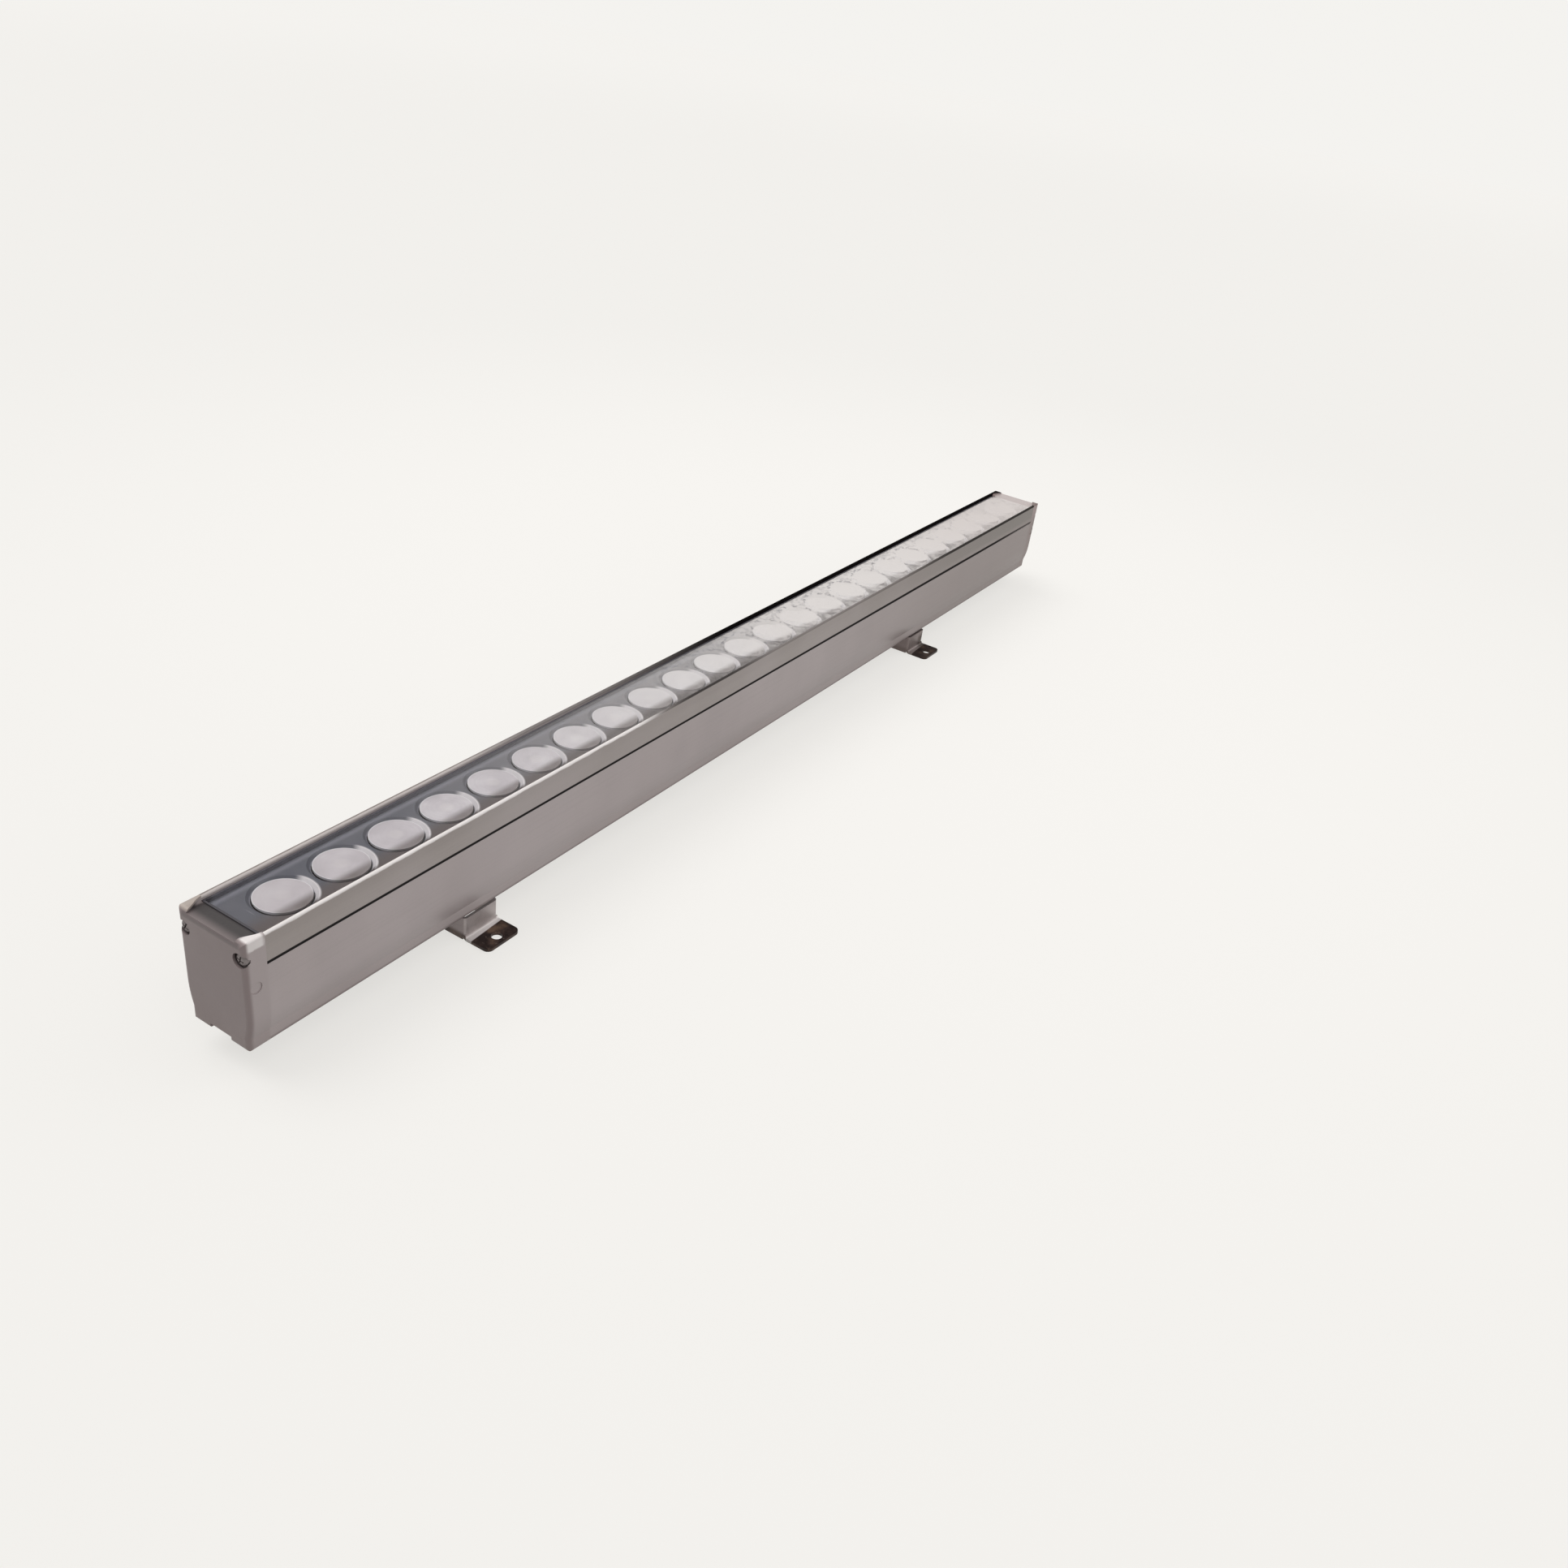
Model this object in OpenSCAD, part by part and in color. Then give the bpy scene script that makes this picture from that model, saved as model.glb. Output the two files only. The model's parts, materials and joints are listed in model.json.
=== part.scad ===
// Outdoor wall washer light: a slim extruded body about one metre long, with a row of
// round lens optics under a sunk glass cover, on two feet that slide in a slot along
// its underside and let it lean back.
// Millimetres. X runs along the light, with the near end at -X. -Y is the front, where
// the foot tabs point, and Z is up. The origin is the bottom centre of the whole light.

/* [Body] */
// Length over both end caps
body_len = 1000; // [980:1:1100]
// Width across the straight upper flanks
body_w = 50; // [49:0.5:54]
// Height from the underside to the top of the rims
body_h = 71; // [71:0.5:74]
// Width of the underside
sole_w = 45; // [43:0.5:46]
// Height where the flanks start to swell outward
flank_low = 8; // [6:0.5:10]
// Height where the flanks become upright
flank_top = 25; // [20:1:30]
// Wall of the lower extrusion
wall = 2.2; // [2:0.1:2.4]
// Height of the seam between the lower and the upper extrusion
seam_z = 52.2; // [52:0.1:52.4]
// Height of the seam
seam_gap = 1; // [0.8:0.1:1.2]
// Thickness of the upstanding rims
rim_t = 2.4; // [2.2:0.1:2.6]

/* [Underside slot] */
// Width of the slot's mouth
slot_mouth = 16.4; // [16:0.1:18]
// Width inside the slot
slot_w = 24; // [23.5:0.5:26]
// Thickness of the slot's lips
slot_lip = 2.4; // [2.2:0.1:2.6]
// Height inside the slot, above the lips
slot_h = 6; // [5.8:0.1:6.5]

/* [Optics] */
// Number of lenses
lens_count = 24; // [12:2:24]
// Distance from lens to lens
lens_pitch = 39.6; // [38:0.1:40]
// Diameter of a lens flange
lens_d = 30.8; // [29:0.1:31]
// Diameter of the round windows in the lens plate, at its underside
window_d = 32; // [31.5:0.1:33]
// Thickness of the lens plate
plate_t = 2.4; // [2:0.1:2.4]
// Thickness of the glass cover
glass_t = 3; // [2.5:0.1:3.5]

/* [End caps] */
// Length of an end cap
cap_t = 13; // [12:0.5:16]
// Radius round the outer edges of a cap
cap_r = 3.5; // [2:0.5:4]
// Half width of the cap's sunk top at its outer end
cap_dip = 18; // [14:0.5:19]
// Diameter of the recess round a cap screw
recess_d = 9; // [8.6:0.1:9.6]

/* [Feet] */
// Height of the light's underside above the surface
foot_drop = 17.5; // [17.5:0.1:19]
// Width of a foot, along the light
foot_w = 28.5; // [28:0.5:34]
// Thickness of the foot's bent sheet
sheet_t = 2; // [1.5:0.1:2.5]
// Reach of the tab in front of the underside
tab_reach = 19; // [17:0.5:26]
// Diameter of the fixing hole in a tab
tab_hole_d = 7; // [5:0.1:8]
// Place of the near foot along the light
near_foot_x = -330; // [-450:1:-80]
// Place of the far foot along the light
far_foot_x = 252; // [5:1:440]

/* [Hidden] */
$fn = 64;
// Cuts run past a face by this much
past = 1;
// Steps of a round stretch in an outline
arc_steps = 5;
flank_steps = 10;

// Body
sole_r = 1.8;
sole_in = (body_w - sole_w) / 2;
flank_r = (pow(flank_top - flank_low, 2) + pow(sole_in, 2)) / (2 * sole_in);
ext_len = body_len - 2 * cap_t;
slot_roof = slot_lip + slot_h;
slot_wall = 2;
shelf_z = 47;
shelf_t = 3;
// The whole light is centred on its own depth, so the body stands behind the origin
tab_end = sole_w / 2 + tab_reach;
body_y = (tab_end - body_w / 2) / 2;

// Sliding joint of the two extrusions: a T-shaped tongue held in a hooked groove
frame_z = seam_z + seam_gap;
rim_r = rim_t / 2;
rim_in = body_w / 2 - rim_t;
tongue_out = rim_in - 0.4;
stem_t = 1.4;
head_t = 2.6;
hook_z = frame_z + 1.3;
head_z = hook_z + 0.2;
head_h = 1.6;
groove_play = 0.2;
bay_y = rim_in - 4;
leg_in = rim_in - 5.4;
seal_set = 0.4;

// Screw ports in the upper extrusion, which also carry the lens plate
port_y = body_w / 2 - 4.4;
port_z = 59.2;
port_r = 3.7;
port_hole_r = 1.7;
port_gap = 1.4;
port_root = 1.6;
ledge_z = port_z + 3.9;
glass_z = ledge_z + plate_t;
glass_w = 2 * (rim_in - 1.2);
glass_inset = 1.2;

// Optics
board_t = 1.6;
board_w = 30;
board_z = shelf_z + board_t;
board_gap = 6;
board_end = 3;
holder_r = 12;
holder_wall = 1.4;
holder_h = 6;
lens_z = board_z + 1.2;
lens_rim_z = glass_z - 1.5;
lens_rim_t = 1.3;
lens_base_r = 4.2;
lens_cone_r = 14.2;
lens_eye_r = 3.2;
lens_eye_h = 4;
lens_dome = 0.15;
window_flare = 2.2;
window_lip = 0.3;
led_w = 3.5;
led_t = 0.9;
led_dome_r = 1.4;
board_screw_step = 4;
board_screw_r = 1.4;

// Driver and its lead, inside the lower chamber
driver_x = 30;
driver_len = 180;
driver_w = 30;
driver_h = 24;
driver_z = slot_roof + slot_wall;
lead_r = 1.8;
lead_bend = 4;
lead_z = driver_z + driver_h / 2;

// End caps
cap_x = body_len / 2 - cap_t;
gasket_t = 1;
gasket_in = 1.5;
gasket_top = ledge_z + 1.1;
spigot_len = 6;
spigot_low = 12;
spigot_top = 42;
spigot_play = 0.4;
notch_h = 3;
sole_edge_r = 1.2;
mark_r = 3.5;
mark_depth = 0.5;
mark_x = 5.5;
mark_z = 41;
plug_len = 14;
plug_play = 0.3;
grub_r = 2;
grub_len = 4.8;
recess_depth = 3.6;
cap_screw_r = 1.65;
cap_screw_head_r = 4;
cap_screw_head_h = 3;
cap_screw_len = 18;
dip_edge_z = body_h - 1.8;
dip_glass_z = glass_z + glass_t - 0.9;

// Cable gland on the far cap
gland_z = 28;
gland_thread_r = 7.6;
gland_hex_r = 11;
gland_flange = 5;
gland_sleeve = 8;
gland_bore_r = 5;
gland_seat_r = 6.1;
gland_total = 20;
cable_r = 3.6;

// Feet
pivot_z = -9;
ear_r = 7.5;
bend_r = 1.5;
web_y = sole_w / 2;
tab_corner_r = 4;
tab_hole_y = sole_w / 2 + 12.5;
knuckle_w = foot_w - 2 * sheet_t - 0.5;
knuckle_r = slot_mouth / 2 - 0.3;
flange_w = 22;
flange_t = 2.5;
boss_h = slot_lip - 0.4;
nut_h = 4;
nut_len = 20;
slot_screw_r = 3;
slot_head_r = 4.9;
slot_head_h = 4.8;
slot_head_z = -15.4;
pivot_r = 2.5;
pivot_head_r = 4.5;
pivot_head_h = 2.8;
pivot_inner_x = 6.3;
washer_r = 5;
washer_t = 1;
turn_play = 0.05;

// Finishes
body_paint = "#958c8d";
cast_paint = "#8c8284";
dark_steel = "#5a4a42";
bright_steel = "#b9b6b4";
seal_black = "#1d1c1e";
plate_grey = "#62646d";
lens_white = "#cfcacd";

function lens_x(k) = (k - (lens_count - 1) / 2) * lens_pitch;
function lens_name(k) = str("lens_", k < 9 ? "0" : "", k + 1);

// Placing

// From the body's own frame, with its underside at zero, to the standing light
module at_body() {
    translate([-gland_total / 2, body_y, foot_drop]) children();
}

// A Y-Z section drawn flat, carried along X
module along_x(from, length) {
    translate([from, 0, 0]) rotate([90, 0, 90]) linear_extrude(length) children();
}

// A shape and its mirror image in its own first axis
module both_ways() {
    children();
    mirror([1, 0, 0]) children();
}

// A turned shape whose axis lies along X
module turned_x(x) {
    translate([x, 0, 0]) rotate([0, 90, 0]) children();
}

// A rectangle given by its low and high corners
module block_2d(low, high) {
    translate(low) square(high - low);
}

// A rectangle with rounded corners
module round_2d(low, high, r) {
    block_2d([low.x + r, low.y], [high.x - r, high.y]);
    block_2d([low.x, low.y + r], [high.x, high.y - r]);
    for (x = [low.x + r, high.x - r], y = [low.y + r, high.y - r]) translate([x, y]) circle(r = r);
}

// Body section

// How far the flank draws in at height z: an arc from upright down to the sole
function flank_in(z) = z >= flank_top ? 0
    : z <= flank_low ? sole_in
    : flank_r - sqrt(pow(flank_r, 2) - pow(flank_top - z, 2));

function side_y(inset, z) = body_w / 2 - inset - flank_in(z);

function arc(centre, r, from, to) = r <= 0 ? [centre]
    : let (steps = r < 1 ? 1 : arc_steps)
    [for (i = [0:steps]) let (a = from + (to - from) * i / steps) centre + r * [cos(a), sin(a)]];

function flank_points(inset, low, high) =
    [for (i = [0:flank_steps])
        let (z = flank_low + (flank_top - flank_low) * i / flank_steps)
        if (z > low && z < high) [side_y(inset, z), z]];

function right_side(inset, low, high, r_low, r_high) = concat(
    arc([side_y(inset, low) - r_low, low + r_low], r_low, -90, 0),
    flank_points(inset, low + r_low, high - r_high),
    arc([side_y(inset, high) - r_high, high - r_high], r_high, 0, 90));

function mirrored(points) = [for (i = [len(points) - 1:-1:0]) [-points[i].x, points[i].y]];

// The body's outline between two heights, drawn in by an inset
module section(inset, low, high, r_low = 0.3, r_high = 0.3) {
    side = right_side(inset, low, high, r_low, r_high);
    polygon(concat(side, mirrored(side)));
}

module slot_section() {
    block_2d([-slot_mouth / 2, -past], [slot_mouth / 2, slot_lip + 0.1]);
    block_2d([-slot_w / 2, slot_lip], [slot_w / 2, slot_roof]);
}

module chamber_section() {
    slot_side = slot_w / 2 + slot_wall;
    difference() {
        section(wall, slot_lip, shelf_z - shelf_t, 1, 1);
        block_2d([-slot_side, 0], [slot_side, slot_roof + slot_wall]);
    }
}

// The tongue on the lower extrusion's right wall
module tongue_section() {
    block_2d([tongue_out - stem_t, seam_z - 0.1], [tongue_out, head_z + 0.1]);
    block_2d([tongue_out - head_t, head_z], [tongue_out, head_z + head_h]);
}

// The groove in the upper extrusion that the tongue slides in
module groove_section() {
    block_2d([tongue_out - stem_t - groove_play, frame_z - past],
        [tongue_out + groove_play, hook_z + 0.1]);
    block_2d([tongue_out - head_t - groove_play, hook_z],
        [tongue_out + groove_play, head_z + head_h + groove_play]);
}

// Lower extrusion: chamber, lens shelf, sliding tongues and the underside slot
module housing() {
    color(body_paint) at_body() difference() {
        along_x(-ext_len / 2, ext_len) {
            difference() {
                section(0, 0, seam_z, sole_r, 0.2);
                slot_section();
                chamber_section();
                block_2d([-bay_y, shelf_z], [bay_y, seam_z + past]);
            }
            both_ways() tongue_section();
        }
        board_screw_holes();
        translate([0, 0, shelf_z - shelf_t - past]) cylinder(r = lead_r + 1.2, h = shelf_t + 2 * past);
    }
}

module board_screw_holes() {
    for (k = [1:board_screw_step:lens_count - 2])
        translate([lens_x(k) + lens_pitch / 2, 0, shelf_z - shelf_t - past])
            cylinder(r = board_screw_r + 0.05, h = shelf_t + 2 * past);
}

// Upper rail of one side: rim, screw port, ledge and hooked groove
module frame_side() {
    difference() {
        union() {
            block_2d([rim_in, frame_z], [body_w / 2, body_h - rim_r]);
            translate([body_w / 2 - rim_r, body_h - rim_r]) circle(r = rim_r);
            block_2d([port_y, port_z], [rim_in + 0.1, ledge_z]);
            translate([port_y, port_z]) circle(r = port_r);
            block_2d([leg_in, frame_z], [rim_in + 0.1, port_z - port_r + port_root]);
        }
        translate([port_y, port_z]) circle(r = port_hole_r);
        block_2d([port_y - port_r - past, port_z - port_gap / 2], [port_y, port_z + port_gap / 2]);
        groove_section();
    }
}

module rail_back() {
    color(body_paint) at_body() along_x(-ext_len / 2, ext_len) frame_side();
}

module rail_front() {
    color(body_paint) at_body() along_x(-ext_len / 2, ext_len) mirror([1, 0, 0]) frame_side();
}

// Black strips that close the seam on both flanks
module seam_seals() {
    color(seal_black) at_body() along_x(-ext_len / 2, ext_len) both_ways()
        block_2d([rim_in - 0.2, seam_z], [body_w / 2 - seal_set, frame_z]);
}

// Cover and optics

module glass_cover() {
    color("#b9c4cc") at_body()
        translate([-ext_len / 2 + glass_inset, -glass_w / 2, glass_z])
            cube([ext_len - 2 * glass_inset, glass_w, glass_t]);
}

// Silicone bead round the glass, a little lower than its top
module glass_seal() {
    bead_h = glass_t - 0.4;
    color(seal_black) at_body() translate([0, 0, glass_z]) linear_extrude(bead_h) difference() {
        square([ext_len, 2 * rim_in], center = true);
        square([ext_len - 2 * glass_inset, glass_w], center = true);
    }
}

// Dark plate with a flared round window over each lens
module lens_plate() {
    plate_w = 2 * rim_in - 0.4;
    plate_l = ext_len - 1;
    low_r = window_d / 2;
    color(plate_grey) at_body() translate([0, 0, ledge_z]) difference() {
        translate([-plate_l / 2, -plate_w / 2, 0]) cube([plate_l, plate_w, plate_t]);
        for (k = [0:lens_count - 1]) translate([lens_x(k), 0, 0]) {
            translate([0, 0, -past]) cylinder(r = low_r, h = plate_t + past);
            translate([0, 0, window_lip])
                cylinder(r1 = low_r, r2 = low_r + window_flare, h = plate_t - window_lip + 0.01);
        }
    }
}

// Collector lens: an eye over the diode, a parabolic bowl, a flange and a low dome
module lens(k) {
    bowl_steps = 8;
    dome_steps = 4;
    top_z = lens_rim_z + lens_rim_t;
    bowl = [for (i = [0:bowl_steps]) let (t = i / bowl_steps)
        [lens_base_r + t * (lens_cone_r - lens_base_r), lens_z + t * t * (lens_rim_z - lens_z)]];
    dome = [for (i = [0:dome_steps]) let (t = 1 - i / dome_steps)
        [t * lens_d / 2, top_z + lens_dome * (1 - t * t)]];
    eye = [[0, lens_z + lens_eye_h], [lens_eye_r, lens_z + lens_eye_h], [lens_eye_r, lens_z]];
    color(lens_white) at_body() translate([lens_x(k), 0, 0])
        rotate_extrude() polygon(concat(eye, bowl, [[lens_d / 2, lens_rim_z]], dome));
}

// A ring foot under each lens
module lens_holders() {
    color("#e6e4e2") at_body() for (k = [0:lens_count - 1]) translate([lens_x(k), 0, board_z])
        difference() {
            cylinder(r = holder_r, h = holder_h);
            translate([0, 0, 1]) cylinder(r = holder_r - holder_wall, h = holder_h);
            translate([0, 0, -past]) cylinder(r = lens_base_r + 1, h = holder_h);
        }
}

module leds() {
    color("#e8d27a") at_body() for (k = [0:lens_count - 1]) translate([lens_x(k), 0, board_z]) {
        translate([-led_w / 2, -led_w / 2, 0]) cube([led_w, led_w, led_t]);
        intersection() {
            translate([0, 0, led_t]) sphere(r = led_dome_r);
            translate([-led_w, -led_w, led_t / 2]) cube(2 * led_w);
        }
    }
}

// Circuit board on the far half of the shelf, with its screw holes
module half_board() {
    difference() {
        translate([board_gap / 2, -board_w / 2, shelf_z])
            cube([ext_len / 2 - board_gap / 2 - board_end, board_w, board_t]);
        board_screw_holes();
        translate([0, 0, board_t]) board_screw_holes();
    }
}

module led_board_far() {
    color("#f1f0ec") at_body() half_board();
}

module led_board_near() {
    color("#f1f0ec") at_body() difference() {
        mirror([1, 0, 0]) translate([board_gap / 2, -board_w / 2, shelf_z])
            cube([ext_len / 2 - board_gap / 2 - board_end, board_w, board_t]);
        board_screw_holes();
        translate([0, 0, board_t]) board_screw_holes();
    }
}

module board_screws() {
    head_r = 2.8;
    head_h = 1.8;
    color(bright_steel) at_body() for (k = [1:board_screw_step:lens_count - 2])
        translate([lens_x(k) + lens_pitch / 2, 0, board_z]) {
            cylinder(r = head_r, h = head_h);
            translate([0, 0, -board_t - shelf_t]) cylinder(r = board_screw_r, h = board_t + shelf_t);
        }
}

// Link that bridges the two boards and takes the driver's lead from below
module board_connector() {
    link_l = 9;
    link_w = 12;
    link_h = 4;
    color("#d9d6cf") at_body() translate([-link_l / 2, -link_w / 2, board_z]) cube([link_l, link_w, link_h]);
}

// Potted driver on the chamber floor, with rounded long edges and a fixing foot at each end
module led_driver() {
    edge_r = 3;
    foot_len = 10;
    foot_t = 2.5;
    color("#3a3b3f") at_body() {
        along_x(driver_x, driver_len) translate([0, driver_z]) {
            block_2d([-driver_w / 2, 0], [driver_w / 2, driver_h - edge_r]);
            block_2d([-driver_w / 2 + edge_r, 0], [driver_w / 2 - edge_r, driver_h]);
            both_ways() translate([driver_w / 2 - edge_r, driver_h - edge_r]) circle(r = edge_r);
        }
        translate([driver_x + driver_len - past, -driver_w / 4, driver_z])
            cube([foot_len + past, driver_w / 2, foot_t]);
    }
}

// Lead from the driver, up through the shelf to the link between the boards
module led_lead() {
    color("#2a2a2c") at_body() {
        turned_x(lead_bend) translate([-lead_z, 0, 0]) cylinder(r = lead_r, h = driver_x - lead_bend);
        translate([lead_bend, 0, lead_z + lead_bend]) rotate([90, 0, 0]) rotate([0, 0, 180])
            rotate_extrude(angle = 90) translate([lead_bend, 0]) circle(r = lead_r);
        translate([0, 0, lead_z + lead_bend])
            cylinder(r = lead_r, h = board_z - lead_z - lead_bend);
    }
}

// End caps

// A shape drawn flat in X and Z, carried right across the body
module across() {
    translate([0, body_w / 2, 0]) rotate([90, 0, 0]) linear_extrude(body_w) children();
}

// Plan of a block that ends at the end face with rounded corners
module rounded_plan(width) {
    linear_extrude(body_h) round_2d([cap_x - 2 * cap_r, -width / 2], [body_len / 2, width / 2], cap_r);
}

// Disc about the flank's own centre, with a rounded edge at the end face
module flank_disc() {
    outer = body_len / 2;
    translate([0, body_w / 2 - flank_r, flank_top]) turned_x(0) rotate_extrude($fn = 4 * $fn) {
        block_2d([0, cap_x - past], [flank_r - cap_r, outer]);
        block_2d([0, cap_x - past], [flank_r, outer - cap_r]);
        translate([flank_r - cap_r, outer - cap_r]) circle(r = cap_r);
    }
}

// Cap block at the far end: upright top, swelling flanks, then the upright sole
module cap_block() {
    inner = cap_x - 2 * cap_r;
    outer = body_len / 2;
    intersection() {
        along_x(cap_x, cap_t) intersection() {
            round_2d([-body_w / 2, 0], [body_w / 2, body_h], rim_r);
            block_2d([-body_w, flank_top], [body_w, body_h]);
        }
        rounded_plan(body_w);
        across() round_2d([inner, 0], [outer, body_h], cap_r);
    }
    intersection() {
        translate([cap_x, -body_w / 2, flank_low]) cube([cap_t, body_w, flank_top - flank_low]);
        flank_disc();
        mirror([0, 1, 0]) flank_disc();
    }
    intersection() {
        along_x(cap_x, cap_t) intersection() {
            round_2d([-sole_w / 2, 0], [sole_w / 2, body_h], sole_r);
            block_2d([-body_w, 0], [body_w, flank_low]);
        }
        rounded_plan(sole_w);
        across() round_2d([inner, 0], [outer, body_h], sole_edge_r);
    }
}

// Sunk top between the cap's rims: it widens and falls toward the glass
module cap_dip_cut() {
    dip_steps = 12;
    outer_x = body_len / 2;
    side = [for (i = [0:dip_steps]) let (t = i / dip_steps)
        [outer_x - t * cap_t, cap_dip + (rim_in - cap_dip) * t * t * (3 - 2 * t)]];
    edge = concat([[outer_x + past, cap_dip]], side, [[cap_x - past, rim_in]]);
    high = body_h + past;
    fall = (dip_edge_z - dip_glass_z) / cap_t;
    intersection() {
        linear_extrude(high)
            polygon(concat(edge, [for (i = [len(edge) - 1:-1:0]) [edge[i].x, -edge[i].y]]));
        across() polygon([[cap_x - past, dip_glass_z - fall * past],
            [outer_x + past, dip_edge_z + fall * past], [outer_x + past, high], [cap_x - past, high]]);
    }
}

// Flat seal shape: the outline less the slot, the chamber, the lens bay and the screws
module gasket_section() {
    difference() {
        section(gasket_in, gasket_in, gasket_top, 1, 0.3);
        block_2d([-slot_w / 2 - 0.2, 0], [slot_w / 2 + 0.2, slot_roof + 0.2]);
        section(wall + 0.2, spigot_low - 0.5, spigot_top + 1.2, 1, 1);
        block_2d([-port_y + port_r + 0.8, shelf_z + 2.5], [port_y - port_r - 0.8, ledge_z - 2]);
        both_ways() translate([port_y, port_z]) circle(r = cap_screw_r + 0.55);
    }
}

module far_cap_body() {
    difference() {
        cap_block();
        cap_dip_cut();
        along_x(cap_x - past, cap_t + 2 * past)
            block_2d([-slot_mouth / 2, -past], [slot_mouth / 2, notch_h]);
        along_x(cap_x - past, gasket_t + past) gasket_section();
        for (side = [-1, 1]) translate([0, side * port_y, port_z]) {
            turned_x(cap_x - past) cylinder(r = cap_screw_r + 0.55, h = cap_t + 2 * past);
            turned_x(body_len / 2 - recess_depth) cylinder(d = recess_d, h = recess_depth + past);
        }
        translate([body_len / 2 - mark_x, mark_depth - body_w / 2, mark_z])
            rotate([90, 0, 0]) cylinder(r = mark_r, h = mark_depth + past);
    }
    along_x(cap_x - spigot_len, spigot_len + 0.5) difference() {
        section(wall + spigot_play, spigot_low, spigot_top, 1, 1);
        section(wall + 2.6, spigot_low + 2.2, spigot_top - 2.2, 1, 1);
    }
    difference() {
        along_x(cap_x - plug_len, plug_len + 0.5)
            block_2d([-slot_w / 2 + plug_play, slot_lip + plug_play],
                [slot_w / 2 - plug_play, slot_roof - plug_play]);
        translate([cap_x - plug_len / 2, 0, 0]) cylinder(r = grub_r + 0.05, h = slot_roof);
    }
}

module cap_far() {
    color(cast_paint) at_body() difference() {
        far_cap_body();
        translate([0, 0, gland_z]) turned_x(cap_x - past)
            cylinder(r = gland_thread_r + 0.05, h = cap_t + 2 * past);
    }
}

module cap_near() {
    color(cast_paint) at_body() mirror([1, 0, 0]) far_cap_body();
}

module gasket() {
    along_x(cap_x, gasket_t) gasket_section();
}

module gasket_far() {
    color(seal_black) at_body() gasket();
}

module gasket_near() {
    color(seal_black) at_body() mirror([1, 0, 0]) gasket();
}

// Pan-head screw along X, head outward, seated at the bottom of its recess
module cap_screw() {
    seat = body_len / 2 - recess_depth;
    turned_x(seat - cap_screw_len) cylinder(r = cap_screw_r, h = cap_screw_len);
    turned_x(seat) rotate_extrude() polygon(concat([[0, 0], [cap_screw_head_r, 0]],
        [for (i = [0:arc_steps]) let (a = 90 * i / arc_steps)
            [cap_screw_head_r * cos(a), 1 + (cap_screw_head_h - 1) * sin(a)]]));
}

module cap_screws() {
    color(bright_steel) at_body() both_ways()
        for (side = [-1, 1]) translate([0, side * port_y, port_z]) cap_screw();
}

// Set screws that lock the cap's plug against the slot's roof
module grub_screws() {
    socket_r = 1.1;
    color(bright_steel) at_body() both_ways()
        translate([cap_x - plug_len / 2, 0, slot_roof - grub_len]) difference() {
            cylinder(r = grub_r, h = grub_len);
            translate([0, 0, -past]) cylinder(r = socket_r, h = 2 + past, $fn = 6);
        }
}

// Cable gland

// Threaded body: sleeve into the cap, hexagon flange and outer sleeve
module gland_body() {
    face = body_len / 2;
    color(seal_black) at_body() translate([0, 0, gland_z]) difference() {
        union() {
            turned_x(cap_x - 2) cylinder(r = gland_thread_r, h = cap_t + 2.5);
            turned_x(face) cylinder(r = gland_hex_r, h = gland_flange, $fn = 6);
            turned_x(face + gland_flange - 0.5) cylinder(r = gland_thread_r, h = gland_sleeve + 0.5);
        }
        turned_x(cap_x - 3) cylinder(r = gland_bore_r, h = cap_t + gland_total);
        turned_x(face + gland_flange + 1) cylinder(r = gland_seat_r, h = gland_total);
    }
}

// Domed nut that squeezes the seal
module gland_nut() {
    start = body_len / 2 + gland_flange + 0.2;
    hex_h = 9;
    end = gland_total - gland_flange - 0.2;
    dome_r = 9.4;
    mouth_r = cable_r + 0.9;
    color(seal_black) at_body() translate([0, 0, gland_z]) difference() {
        union() {
            turned_x(start) cylinder(r = gland_hex_r - 0.1, h = hex_h, $fn = 6);
            turned_x(start + hex_h - 0.5) rotate_extrude() polygon([[0, 0], [dome_r, 0], [dome_r, 1],
                [dome_r - 0.8, 3], [mouth_r + 1.4, end - hex_h + 0.5], [0, end - hex_h + 0.5]]);
        }
        turned_x(start - past) cylinder(r = gland_thread_r + 0.05, h = hex_h + past);
        turned_x(start - past) cylinder(r = mouth_r, h = gland_total);
    }
}

// Rubber sleeve that grips the cable
module gland_seal() {
    seal_len = 7.6;
    color("#2c2c2e") at_body() translate([0, 0, gland_z])
        turned_x(body_len / 2 + gland_flange + 1) difference() {
            cylinder(r = gland_seat_r - 0.05, h = seal_len);
            translate([0, 0, -past]) cylinder(r = cable_r, h = seal_len + 2 * past);
        }
}

// Feet

// Plate that slides inside the slot, with its lower corners clear of the lips
module slot_nut(x) {
    nut_w = slot_w - 0.8;
    color(bright_steel) at_body() translate([x, 0, slot_lip + 0.05]) difference() {
        translate([-nut_len / 2, -nut_w / 2, 0]) cube([nut_len, nut_w, nut_h]);
        translate([0, 0, -past]) cylinder(r = slot_screw_r + turn_play, h = nut_h + 2 * past);
    }
}

module slot_screw(x) {
    socket_r = 2.9;
    tip = slot_roof - 0.8;
    color(bright_steel) at_body() translate([x, 0, slot_head_z]) difference() {
        union() {
            cylinder(r = slot_head_r, h = slot_head_h);
            cylinder(r = slot_screw_r, h = tip - slot_head_z);
        }
        translate([0, 0, -past]) cylinder(r = socket_r, h = 2.6 + past, $fn = 6);
    }
}

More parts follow.
